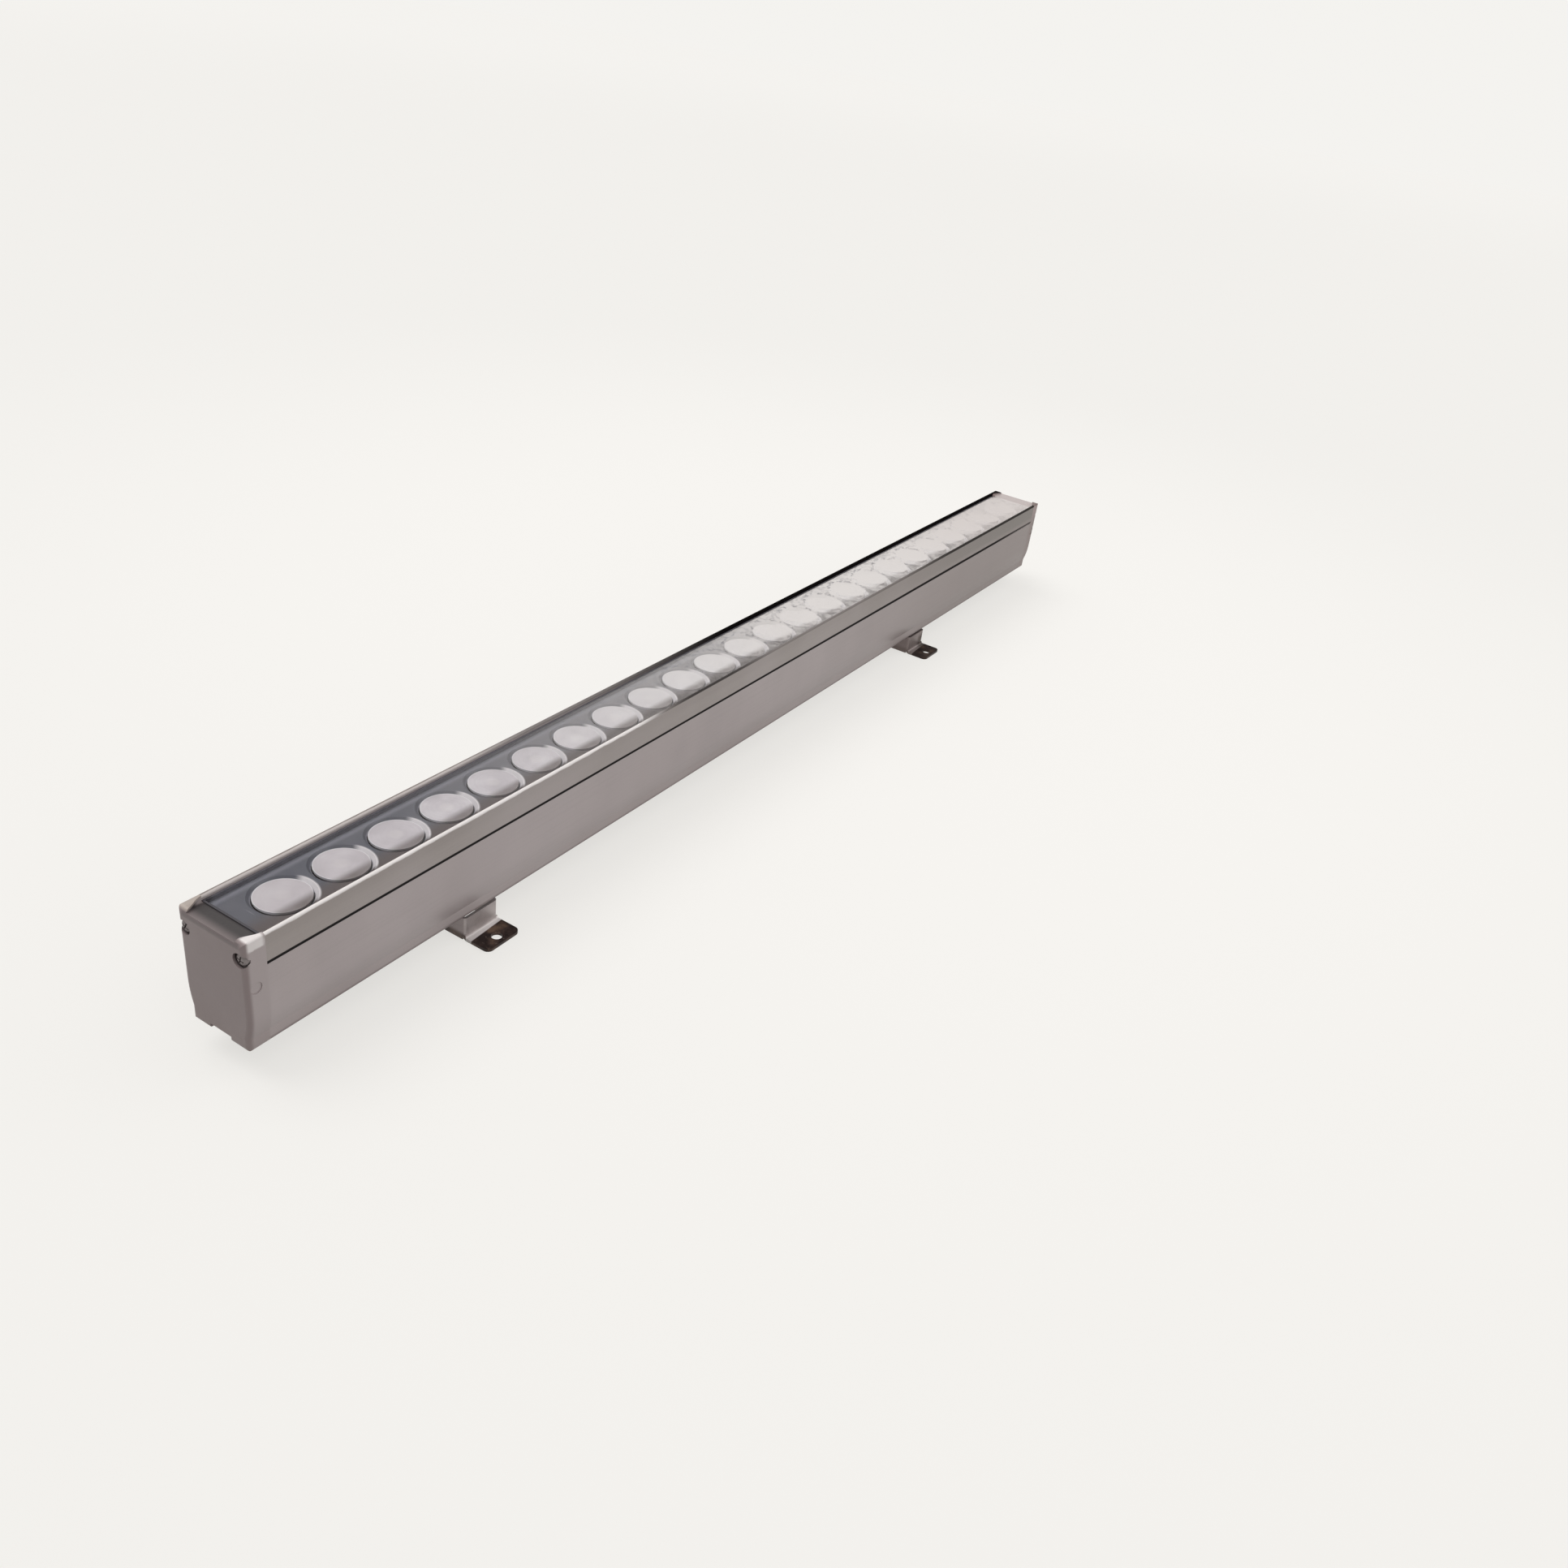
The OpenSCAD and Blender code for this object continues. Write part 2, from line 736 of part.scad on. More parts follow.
// Pivot block: a round barrel below a flange that bears on the body, and a key in the slot
module knuckle(x) {
    top = boss_h;
    color(cast_paint) at_body() translate([x, 0, 0]) difference() {
        along_x(-knuckle_w / 2, knuckle_w) {
            translate([0, pivot_z]) circle(r = knuckle_r);
            block_2d([-knuckle_r, pivot_z], [knuckle_r, top]);
            block_2d([-flange_w / 2, -flange_t], [flange_w / 2, -0.05]);
        }
        translate([0, 0, pivot_z - knuckle_r - past])
            cylinder(r = slot_head_r + 0.3, h = slot_head_z + slot_head_h - pivot_z + knuckle_r + past);
        translate([0, 0, pivot_z]) cylinder(r = slot_screw_r + turn_play, h = top - pivot_z + past);
        translate([0, 0, slot_head_z]) cylinder(r = slot_screw_r + turn_play, h = -slot_head_z);
        for (side = [-1, 1]) translate([0, 0, pivot_z]) rotate([0, side * 90, 0])
            translate([0, 0, pivot_inner_x - 0.3]) cylinder(r = pivot_r + turn_play, h = knuckle_w);
    }
}

// The two screws that the foot turns on, one from each side
module pivot_screws(x) {
    seat = foot_w / 2 + turn_play + washer_t;
    color(bright_steel) at_body() translate([x, 0, pivot_z]) for (side = [-1, 1])
        rotate([0, side * 90, 0]) {
            translate([0, 0, pivot_inner_x]) cylinder(r = pivot_r, h = seat - pivot_inner_x + 0.5);
            translate([0, 0, seat]) rotate_extrude() polygon(concat([[0, 0], [pivot_head_r, 0]],
                [for (i = [0:arc_steps]) let (a = 90 * i / arc_steps)
                    [pivot_head_r * cos(a), 1 + (pivot_head_h - 1) * sin(a)]]));
        }
}

module pivot_washers(x) {
    color(bright_steel) at_body() translate([x, 0, pivot_z]) for (side = [-1, 1])
        rotate([0, side * 90, 0]) translate([0, 0, foot_w / 2 + turn_play]) difference() {
            cylinder(r = washer_r, h = washer_t);
            translate([0, 0, -past]) cylinder(r = pivot_r + 0.2, h = washer_t + 2 * past);
        }
}

// Front web and both ears in plan: a sheet bent round two upright corners
module foot_plan() {
    corner = sheet_t + 0.5;
    difference() {
        union() {
            block_2d([-foot_w / 2, -web_y + corner], [foot_w / 2, ear_r]);
            block_2d([-foot_w / 2 + corner, -web_y], [foot_w / 2 - corner, 0]);
            both_ways() translate([foot_w / 2 - corner, -web_y + corner]) circle(r = corner);
        }
        block_2d([-foot_w / 2 + sheet_t, -web_y + sheet_t], [foot_w / 2 - sheet_t, ear_r + past]);
    }
}

// Ear outline seen from the end: flat below, round about the pivot
module ear_outline() {
    block_2d([-web_y, bend_r + sheet_t - foot_drop], [0, pivot_z + ear_r]);
    block_2d([-web_y + sheet_t, -foot_drop], [ear_r, pivot_z]);
    translate([0, pivot_z]) circle(r = ear_r);
}

// Bent sheet foot: ears, web, bottom bend and a tab with one fixing hole
module foot(x) {
    bend_out = bend_r + sheet_t;
    bend_y = web_y + bend_r;
    bend_z = bend_out - foot_drop;
    color(dark_steel) at_body() translate([x, 0, 0]) difference() {
        union() {
            intersection() {
                translate([0, 0, -foot_drop]) linear_extrude(foot_drop) foot_plan();
                along_x(-foot_w, 2 * foot_w) ear_outline();
            }
            along_x(-foot_w / 2, foot_w) difference() {
                translate([-bend_y, bend_z]) difference() {
                    circle(r = bend_out);
                    circle(r = bend_r);
                }
                block_2d([-bend_y - 2 * bend_out, -foot_drop - past], [-bend_y, 0]);
                block_2d([-bend_y - past, bend_z], [0, past]);
            }
            translate([0, 0, -foot_drop]) linear_extrude(sheet_t) {
                block_2d([-foot_w / 2, -tab_end + tab_corner_r], [foot_w / 2, -bend_y + 0.1]);
                block_2d([-foot_w / 2 + tab_corner_r, -tab_end], [foot_w / 2 - tab_corner_r, -bend_y]);
                both_ways() translate([foot_w / 2 - tab_corner_r, -tab_end + tab_corner_r])
                    circle(r = tab_corner_r);
            }
        }
        translate([0, -tab_hole_y, -foot_drop - past]) cylinder(d = tab_hole_d, h = sheet_t + 2 * past);
        translate([-foot_w, 0, pivot_z]) rotate([0, 90, 0]) cylinder(r = pivot_r + turn_play, h = 2 * foot_w);
    }
}

housing();
rail_front();
rail_back();
seam_seals();
glass_cover();
glass_seal();
lens_plate();
lens_holders();
leds();
led_board_near();
led_board_far();
board_screws();
board_connector();
led_driver();
led_lead();
cap_near();
cap_far();
gasket_near();
gasket_far();
cap_screws();
grub_screws();
gland_body();
gland_nut();
gland_seal();
slot_nut(near_foot_x);  // slot_nut_near
slot_screw(near_foot_x);  // slot_screw_near
knuckle(near_foot_x);  // knuckle_near
pivot_screws(near_foot_x);  // pivot_screws_near
pivot_washers(near_foot_x);  // pivot_washers_near
foot(near_foot_x);  // foot_near
slot_nut(far_foot_x);  // slot_nut_far
slot_screw(far_foot_x);  // slot_screw_far
knuckle(far_foot_x);  // knuckle_far
pivot_screws(far_foot_x);  // pivot_screws_far
pivot_washers(far_foot_x);  // pivot_washers_far
foot(far_foot_x);  // foot_far
for (k = [0:lens_count - 1]) lens(k);
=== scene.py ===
"""Dresses the outdoor wall washer light: finishes, screw heads, studio and camera."""
import json
import math

import bmesh
import bpy
import numpy as np
from mathutils import Matrix, Vector


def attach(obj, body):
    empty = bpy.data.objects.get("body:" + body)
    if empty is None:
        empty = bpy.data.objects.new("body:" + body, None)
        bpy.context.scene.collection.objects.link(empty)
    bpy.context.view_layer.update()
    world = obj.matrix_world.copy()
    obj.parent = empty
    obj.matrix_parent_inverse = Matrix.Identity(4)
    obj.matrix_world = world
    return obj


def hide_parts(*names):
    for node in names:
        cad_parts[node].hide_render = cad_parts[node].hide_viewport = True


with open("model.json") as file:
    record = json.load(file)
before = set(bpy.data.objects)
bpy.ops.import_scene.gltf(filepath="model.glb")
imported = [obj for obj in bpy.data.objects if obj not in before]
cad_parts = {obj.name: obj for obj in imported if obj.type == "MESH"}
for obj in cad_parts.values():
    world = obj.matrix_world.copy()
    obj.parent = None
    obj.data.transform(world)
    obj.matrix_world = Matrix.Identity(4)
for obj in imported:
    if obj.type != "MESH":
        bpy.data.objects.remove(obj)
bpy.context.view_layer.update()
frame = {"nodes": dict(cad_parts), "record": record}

MM = 0.001

# The body in its own millimetres: X along it, Y across toward the back, Z up from its sole
BODY_X, BODY_Y, BODY_Z = -10.0, 8.25, 17.5  # its origin in the part's frame
BODY_H, BODY_LEN = 71.0, 1000.0
WALL_Y = 25.0  # its outer walls, half its width
SEAM_Z = 52.7  # the seam between housing and rails
PORT_Y, PORT_Z = 20.6, 59.2  # the cap screws' axes
SCREW_SEAT = 496.4  # where their heads sit, along X
GLAND_Z = 28.0
LENS_COUNT, LENS_PITCH, LENS_R = 24, 39.6, 15.4
ROW_HALF = LENS_COUNT * LENS_PITCH / 2
WINDOW_R = 16.0  # the plate's windows, at its underside
# the side of each window that gets a painted reflection
SHINE_SIDE = (0.951, -0.309)  # direction in X and Y of each window's bright side

# The feet, in the same millimetres
FOOT_X = {"near": -330.0, "far": 252.0}
PIVOT_Z = -9.0
FOOT_HALF = 14.25  # half a foot's width
WEB_OUT, TAB_END = 22.5, 41.5  # how far forward the web and the tab reach
TAB_SHADE_Y, TAB_SHADE_SLANT = -26.6, 0.057  # the line where the tab's dark shade begins

# Tones given as linear colour
GLASS_CLEAR = (0.965, 0.972, 0.975, 1)
GLASS_SHINE = (0.78, 0.745, 0.745, 1)
GLASS_SHINE_FAR = (0.70, 0.645, 0.64, 1)
BACKDROP = (0.905, 0.893, 0.865, 1)
FLOOR_MIDDLE = (0.930, 0.915, 0.884, 1)
FLOOR_RING = (0.884, 0.872, 0.843, 1)

# Strength of the surround's light, and the share of the floor's tone that is lit
SURROUND_SHARE = 0.52
FLOOR_LIT = 0.28


def srgb(red, green, blue):
    """Linear colour of an 8-bit screen colour."""
    def line(c):
        c = c / 255
        return c / 12.92 if c <= 0.04045 else ((c + 0.055) / 1.055) ** 2.4
    return (line(red), line(green), line(blue), 1.0)


def darker(tint, share):
    """Linear colour of an 8-bit screen colour brought down to share of its values."""
    return srgb(*(round(c * share) for c in tint))


class Wire:
    """A shader socket's value. Arithmetic on it adds Math nodes to its tree."""

    def __init__(self, finish, socket):
        self.finish = finish
        self.socket = socket

    def math(self, operation, *others):
        """Math node with this socket as its first value."""
        values = dict(enumerate((self,) + others))
        return self.finish.node("ShaderNodeMath", values, operation=operation)

    def __add__(self, other):
        return self.math("ADD", other)

    __radd__ = __add__

    def __mul__(self, other):
        return self.math("MULTIPLY", other)

    __rmul__ = __mul__

    def __sub__(self, other):
        return self.math("SUBTRACT", other)

    def __rsub__(self, other):
        return self.finish.node("ShaderNodeMath", {0: other, 1: self}, operation="SUBTRACT")

    def __truediv__(self, other):
        return self.math("DIVIDE", other)

    def step(self, low, high):
        """0 at low, 1 at high and smooth between: it rises, or falls if low is above high."""
        start, end = (0.0, 1.0) if low < high else (1.0, 0.0)
        return self.finish.node("ShaderNodeMapRange", {
            "Value": self, "From Min": min(low, high), "From Max": max(low, high),
            "To Min": start, "To Max": end}, interpolation_type="SMOOTHSTEP")


class Finish:
    """One material or world tree, with a method that adds any node."""

    def __init__(self, tree):
        self.tree = tree

    def node(self, kind, values=None, out=0, **settings):
        """Adds a node, with its settings first and then its sockets, and gives one output."""
        made = self.tree.nodes.new(kind)
        for key, value in settings.items():
            setattr(made, key, value)
        for key, value in (values or {}).items():
            socket = made.inputs[key]
            if isinstance(value, Wire):
                self.tree.links.new(value.socket, socket)
            else:
                socket.default_value = value
        return Wire(self, made.outputs[out]) if len(made.outputs) else made

    def ramp(self, factor, stops):
        """Colour ramp through (place, colour) stops."""
        made = self.tree.nodes.new("ShaderNodeValToRGB")
        band = made.color_ramp
        while len(band.elements) < len(stops):
            band.elements.new(1.0)
        for element, (place, colour) in zip(band.elements, stops):
            element.position = place
            element.color = colour
        self.tree.links.new(factor.socket, made.inputs[0])
        return Wire(self, made.outputs[0])

    def mix(self, factor, first, second):
        """Colour between first and second by factor."""
        return self.node("ShaderNodeMix", {0: factor, 6: first, 7: second}, out=2,
                         data_type="RGBA")

    def coats(self, base, coats):
        """Base under coats of colour in turn, each given as its area, strength and colour."""
        for area, strength, colour in coats:
            base = self.mix(area * strength, base, colour)
        return base

    def where(self):
        """Object coordinates as a vector."""
        return self.node("ShaderNodeTexCoord", out=3)

    def place(self):
        """Object coordinates as a vector and as X, Y and Z in the body's own millimetres."""
        where = self.where()
        parts = self.tree.nodes.new("ShaderNodeSeparateXYZ")
        self.tree.links.new(where.socket, parts.inputs[0])
        x, y, z = (Wire(self, parts.outputs[i]) for i in range(3))
        return where, x * 1000.0 - BODY_X, y * 1000.0 - BODY_Y, z * 1000.0 - BODY_Z

    def noise(self, where, scale, detail, stretch=None):
        """Noise with scale cells a metre, or as many along X, Y and Z as stretch says."""
        if stretch:
            where = self.node("ShaderNodeMapping", {"Vector": where, "Scale": stretch})
        return self.node("ShaderNodeTexNoise", {
            "Vector": where, "Scale": scale, "Detail": detail, "Roughness": 0.55})

    def bump(self, height, depth, strength, normal=None):
        """Bump whose full height is depth in millimetres."""
        values = {"Height": height, "Distance": depth * MM, "Strength": strength}
        if normal:
            values["Normal"] = normal
        return self.node("ShaderNodeBump", values)

    def finish(self, shader):
        """Makes shader the material's surface."""
        self.node("ShaderNodeOutputMaterial", {0: shader})


def new_finish(name):
    """A new empty material, and the Finish that fills its tree."""
    made = bpy.data.materials.new(name)
    made.use_nodes = True
    made.node_tree.nodes.clear()
    return made, Finish(made.node_tree)


def principled(f, **values):
    """Principled shader from keyword sockets such as base_color."""
    names = {key.replace("_", " ").title().replace("Ior", "IOR"): v for key, v in values.items()}
    return f.node("ShaderNodeBsdfPrincipled", names)


# Finishes

BODY_GREY = srgb(180, 170, 170)
# the tone low on the body and its caps: darker, a painted shade
BODY_SHADED_LOW = srgb(164, 152, 151)
BODY_COOL = srgb(188, 179, 180)
# darker brown toward the far end, a painted shade
FAR_SHADE_BROWN = srgb(134, 122, 118)
# the white of the painted highlights
HIGHLIGHT_WHITE = srgb(238, 233, 232)
LINE_BLACK = srgb(12, 9, 10)


def extrusion_finish(name, front=False, back=False):
    """Satin grey on an extrusion: die lines along X, fine grain, painted shade low down and at the
    sole, painted shade that darkens and browns it toward the far end, and a dark line in the
    seam with painted shade beside it. The two rails also have their rims."""
    material, f = new_finish(name)
    where, x, y, z = f.place()
    cloud = f.noise(where, 9.0, 3.0)
    drift = f.noise(where, 1.0, 2.0, stretch=(26.0, 5.0, 12.0))
    lines = f.noise(where, 1.0, 2.0, stretch=(6.0, 900.0, 900.0))
    grain = f.noise(where, 1400.0, 2.0)
    rail = z.step(SEAM_Z - 0.5, SEAM_Z + 0.5)
    rail_top = z.step(SEAM_Z + 6, BODY_H - 2)
    # painted shade: darker and browner toward the far end, most on the rails
    toward_far = x.step(-60.0, 430.0)
    far_rail_shade = z.step(SEAM_Z, SEAM_Z + 8) * x.step(80.0, 470.0)
    # painted shade along the sole's edge
    sole_shade = z.step(3.4, 1.2)
    # darker low down, a painted shade
    base = f.coats(f.mix(z.step(-4.0, 24.0), BODY_SHADED_LOW, BODY_GREY), [
        (drift.step(0.35, 0.7), 0.3, srgb(166, 157, 158)),
        (rail, 0.85, srgb(162, 154, 150)),
        (rail_top, 0.5, srgb(150, 142, 138)),
        (cloud.step(0.35, 0.7), 0.4, BODY_COOL),
        (toward_far, 0.7, FAR_SHADE_BROWN),
        (far_rail_shade, 0.8, srgb(116, 110, 104)),
        (sole_shade, 0.6, srgb(92, 76, 75)),
        (lines.step(0.45, 0.75), 0.07, srgb(130, 120, 120)),
        (grain.step(0.5, 0.9), 0.12, srgb(120, 112, 112))])
    # The seam's dark joint, with painted shade beside it, widens toward the far end and fades at
    # that end
    widening = x.step(-150.0, 350.0) * 0.4
    fading = x.step(390.0, 480.0) * 0.5
    ink = ((z - SEAM_Z).math("ABSOLUTE") - widening).step(1.1, 0.75) * (0.95 - fading)
    if front:
        base, rim_ink = front_rim(f, where, x, z, cloud, base)
        ink = ink.math("MAXIMUM", rim_ink)
    if back:
        base, rim_ink = back_rim(f, where, x, y, z, base)
        ink = ink.math("MAXIMUM", rim_ink)
    roughness = 0.36 + lines * 0.08 + grain * 0.05
    normal = f.bump(lines, 0.012, 0.3, f.bump(grain, 0.012, 0.6))
    shader = principled(f, base_color=base, roughness=roughness, normal=normal,
                        metallic=0.25, coat_weight=0.12, coat_roughness=0.25)
    f.finish(inked(f, ink, shader))
    return material


def front_rim(f, where, x, z, cloud, base):
    """The front rail's top edge: a painted white highlight toward the near end, then a line of
    painted shade that is weaker along the middle. Gives the colour and the line's strength."""
    highlight_noise = f.noise(where, 70.0, 4.0)
    # painted highlight along the top edge toward the near end, ragged by noise
    edge = (z + highlight_noise * 2.2).step(BODY_H - 0.7, BODY_H + 0.4)
    near = (x + highlight_noise * 40.0).step(-125.0, -170.0)
    base = f.mix(edge * near * (0.8 + cloud * 0.4), base, HIGHLIGHT_WHITE)
    # a line of painted shade along the rim
    widening = x.step(0.0, 350.0) * 0.7
    line = (z + widening).step(BODY_H - 1.3, BODY_H - 0.6) * x.step(-190.0, -120.0)
    strength = 0.85 - x.step(-80.0, 0.0) * 0.45 + x.step(170.0, 300.0) * 0.45
    return base, line * strength


def back_rim(f, where, x, y, z, base):
    """The back rail's inner face, painted pale as light against its shade, and its top edge,
    painted along X from a highlight line beside a brown shade to slate and then to black, all
    painted shade. Gives the colour and the black's strength."""
    highlight_noise = f.noise(where, 70.0, 4.0)
    upper = z.step(SEAM_Z + 8, SEAM_Z + 12)
    # painted light on the shaded inner face
    inner = y.step(WALL_Y - 2.0, WALL_Y - 2.6) * upper
    facing = y.step(WALL_Y - 0.9, WALL_Y - 1.3) * upper
    top = z.step(BODY_H - 2.0, BODY_H - 1.2)
    # painted highlight line and shade on the rim's top, then slate and black painted shade further
    # on
    pale_line = (y + highlight_noise * 0.8).step(WALL_Y - 0.8, WALL_Y - 1.6)
    slate_part = x.step(-320.0, -230.0)
    black_part = x.step(-230.0, -10.0)
    rim = f.mix(pale_line, srgb(114, 103, 97), srgb(206, 199, 197))
    rim = f.mix(slate_part * 0.9, rim, srgb(108, 102, 101))
    base = f.coats(base, [(inner, 0.75, srgb(170, 163, 162)), (top, 0.85, rim)])
    return base, facing.math("MAXIMUM", top) * black_part


def inked(f, ink, shader):
    """Shader under a dull black film, as thick as ink says, that shows no gloss at a low angle."""
    film = principled(f, base_color=LINE_BLACK, roughness=0.9, specular_ior_level=0.02)
    return f.node("ShaderNodeMixShader", {0: ink, 1: shader, 2: film})


def casting_finish(name, end=0):
    """Satin grey paint on a casting, with fine orange peel and pits. The near cap (end -1) and
    the far cap (end 1) also have their marks."""
    material, f = new_finish(name)
    where, x, y, z = f.place()
    cloud = f.noise(where, 26.0, 4.0)
    peel = f.noise(where, 620.0, 2.0)
    pits = f.noise(where, 2200.0, 1.0)
    base = f.coats(f.mix(z.step(0.0, 30.0), srgb(138, 124, 123), srgb(142, 129, 129)), [
        (cloud.step(0.4, 0.75), 0.4, srgb(156, 144, 144)),
        (pits.step(0.62, 0.8), 0.25, srgb(112, 103, 103))])
    ink = None
    if end:
        base, ink = cap_marks(f, where, x, y, z, cloud, base, end)
    normal = f.bump(peel, 0.03, 0.5, f.bump(pits, 0.015, 0.4))
    shader = principled(f, base_color=base, roughness=0.4 + peel * 0.14, normal=normal,
                        metallic=0.15, coat_weight=0.15, coat_roughness=0.3)
    f.finish(inked(f, ink, shader) if ink else shader)
    return material


def cap_marks(f, where, x, y, z, cloud, base, end):
    """What a cap adds to its paint: painted shade in the screw recesses, flanks in the extrusion's
    tone, and the sunk top and its rim. On the near cap the sunk top and the rim's end have painted
    shade, and the front corner and the back of the rim painted highlights. On the far cap the sunk
    top is a pale painted reflection and the rims have painted shade, black at the back. Gives the
    colour and the black's strength, which is None on the near cap."""
    across = y.math("ABSOLUTE")
    inward = BODY_LEN / 2 - x * end
    off_port = ((across - PORT_Y) * (across - PORT_Y) + (z - PORT_Z) * (z - PORT_Z)).math("SQRT")
    # painted shade in the screw recesses
    recess = off_port.step(5.0, 4.6) * across.step(WALL_Y - 0.1, WALL_Y - 0.4)
    recess = recess * inward.step(0.5, 2.0) * inward.step(4.5, 4.0)
    flank = across.step(WALL_Y - 5.0, WALL_Y - 3.0) * inward.step(1.2, 3.2)
    # sunk top: painted shade on the near cap, a pale painted reflection on the far cap
    sunk = z.step(BODY_H - 5.5, BODY_H - 3.8) * z.step(BODY_H - 1.0, BODY_H - 1.7)
    sunk = sunk * across.step(WALL_Y - 2.0, WALL_Y - 5.0)
    rim = z.step(BODY_H - 1.6, BODY_H - 0.4)
    rim_at_back = rim * y.step(0.0, 6.0)
    ink = None
    if end > 0:
        # the far cap's flanks take the same painted shade, more of it low down
        side = f.mix(z.step(SEAM_Z + 14, SEAM_Z) * 0.7, srgb(166, 146, 143), FAR_SHADE_BROWN)
        # painted shade on the far cap's front rim, and black painted shade on its back rim
        rim_at_front = rim * (y * -1.0).step(0.0, 6.0)
        marks = [(sunk, 0.85, srgb(200, 190, 188)), (rim_at_front, 0.75, srgb(84, 64, 60))]
        ink = rim_at_back * 0.97
    else:
        side = f.mix(z.step(-4.0, 24.0), BODY_SHADED_LOW, BODY_GREY)
        # painted shade on the rim's end, painted highlights at the front corner and the back of the
        # rim
        end_rim = rim * across.step(WALL_Y - 4.5, WALL_Y - 7.5)
        highlight_noise = f.noise(where, 150.0, 3.0) * 4.0
        corner = (y * -1.0).step(WALL_Y - 7.0, WALL_Y - 4.5)
        corner = corner * (z + highlight_noise).step(BODY_H - 4.9, BODY_H - 3.3)
        corner = corner * inward.step(1.6, 3.2) * (inward + highlight_noise).step(15.6, 13.0)
        marks = [(sunk, 0.35 + inward.step(-1.0, 7.5) * 0.63, srgb(38, 32, 34)),
                 (end_rim, 0.6, srgb(98, 88, 86)),
                 (corner, 0.6 + cloud * 0.7, HIGHLIGHT_WHITE),
                 (rim_at_back, 0.7, srgb(172, 161, 150))]
    base = f.coats(base, [(recess, 0.85, srgb(46, 40, 40)), (flank, 0.85, side)] + marks)
    return base, ink


def foot_finish(side):
    """Bent sheet with a rolled grain: the tab painted dark as shade, with brown stains, and the
    upright painted pale as the lit face, with painted shade under the body and on the ears and a
    band of painted light; painted highlights at the bend and at one corner. The far foot has
    deeper painted shade and faint highlights."""
    material, f = new_finish("foot_steel_" + side)
    where, x, y, z = f.place()
    stain = f.noise(where, 125.0, 5.0)
    spot = f.noise(where, 260.0, 3.0)
    grain = f.noise(where, 1.0, 2.0, stretch=(300.0, 1600.0, 1600.0))
    across = x - FOOT_X[side]
    aside = across.math("ABSOLUTE")
    forward = y * -1.0

    # upright: the painted light of the upright, against the tab's painted shade
    upright = (y - across * TAB_SHADE_SLANT - TAB_SHADE_Y).step(-0.4, 0.4)
    # painted shade on the ears
    ear = aside.step(FOOT_HALF - 0.4, FOOT_HALF - 0.15) * upright
    border = aside.step(FOOT_HALF - 3.45, FOOT_HALF - 0.65)
    border = border.math("MAXIMUM", forward.step(TAB_END - 2.9, TAB_END - 0.5))
    # painted highlights at the bend and at one corner
    bend = upright * forward.step(WEB_OUT + 0.2, WEB_OUT + 0.9) * z.step(0.1 - BODY_Z, 0.5 - BODY_Z)
    bend = bend * (0.7 + across.step(-14.0, 8.0) * 0.3)
    corner = across.step(FOOT_HALF - 1.65, FOOT_HALF - 0.65) * upright
    corner = corner * forward.step(WEB_OUT - 3.0, WEB_OUT - 1.5)
    # painted shade under the body, and a band of painted light low on one side
    top = z.step(-9.0, 1.0)
    low_side = across.step(0.0, 13.0) * z.step(-1.0, -10.0)

    dark = f.ramp(stain, [
        (0.38, srgb(44, 31, 28)), (0.5, srgb(78, 62, 56)), (0.62, srgb(120, 98, 82))])
    dark = f.coats(dark, [
        (spot.step(0.6, 0.74), 0.5, srgb(168, 150, 138)),
        (border, 0.6, srgb(38, 25, 22))])
    lit = f.coats(f.mix(stain.step(0.4, 0.65), srgb(184, 175, 174), srgb(170, 161, 160)), [
        (top, 0.7, srgb(168, 159, 159)),
        (low_side, 0.2, srgb(214, 207, 205)),
        (ear, 0.8, srgb(150, 139, 139)),
        (ear * z.step(-11.0, -15.0), 0.9, dark)])
    # the far foot: deeper painted shade and fainter painted highlights
    edge_shine = 1.0
    if side == "far":
        edge_shine = 0.15
        dark = f.mix(0.55, dark, srgb(42, 28, 26))
        lit = f.mix(0.75, lit, srgb(126, 113, 110))
        lit = f.mix(z.step(-3.0, -8.0) * across.step(1.0, 9.0) * 0.95, lit, dark)
    base = f.coats(f.mix(upright, dark, lit), [
        (bend, edge_shine, HIGHLIGHT_WHITE),
        (corner, edge_shine * 0.9, HIGHLIGHT_WHITE),
        (grain.step(0.5, 0.8), 0.15, srgb(60, 50, 48))])
    f.finish(principled(f, base_color=base, roughness=0.3 + stain * 0.25,
                        metallic=0.55 - bend * (edge_shine * 0.5),
                        normal=f.bump(grain, 0.012, 0.5)))
    return material


def steel_finish(name, tint, dull=0.32):
    """Plain turned steel: fine turning lines and faint tarnish."""
    material, f = new_finish(name)
    where = f.where()
    tarnish = f.noise(where, 240.0, 4.0)
    lines = f.noise(where, 1.0, 1.0, stretch=(4200.0, 800.0, 800.0))
    base = f.mix(tarnish.step(0.4, 0.75) * 0.6, srgb(*tint), darker(tint, 0.72))
    f.finish(principled(f, base_color=base, roughness=dull + tarnish * 0.18, metallic=0.85,
                        normal=f.bump(lines, 0.008, 0.4)))
    return material


def from_lens(x, y):
    """Offset along X from the nearest lens's centre, and the distance to it, in millimetres."""
    along = ((x / LENS_PITCH + LENS_COUNT / 2).math("FRACT") - 0.5) * LENS_PITCH
    return along, (along * along + y * y).math("SQRT")


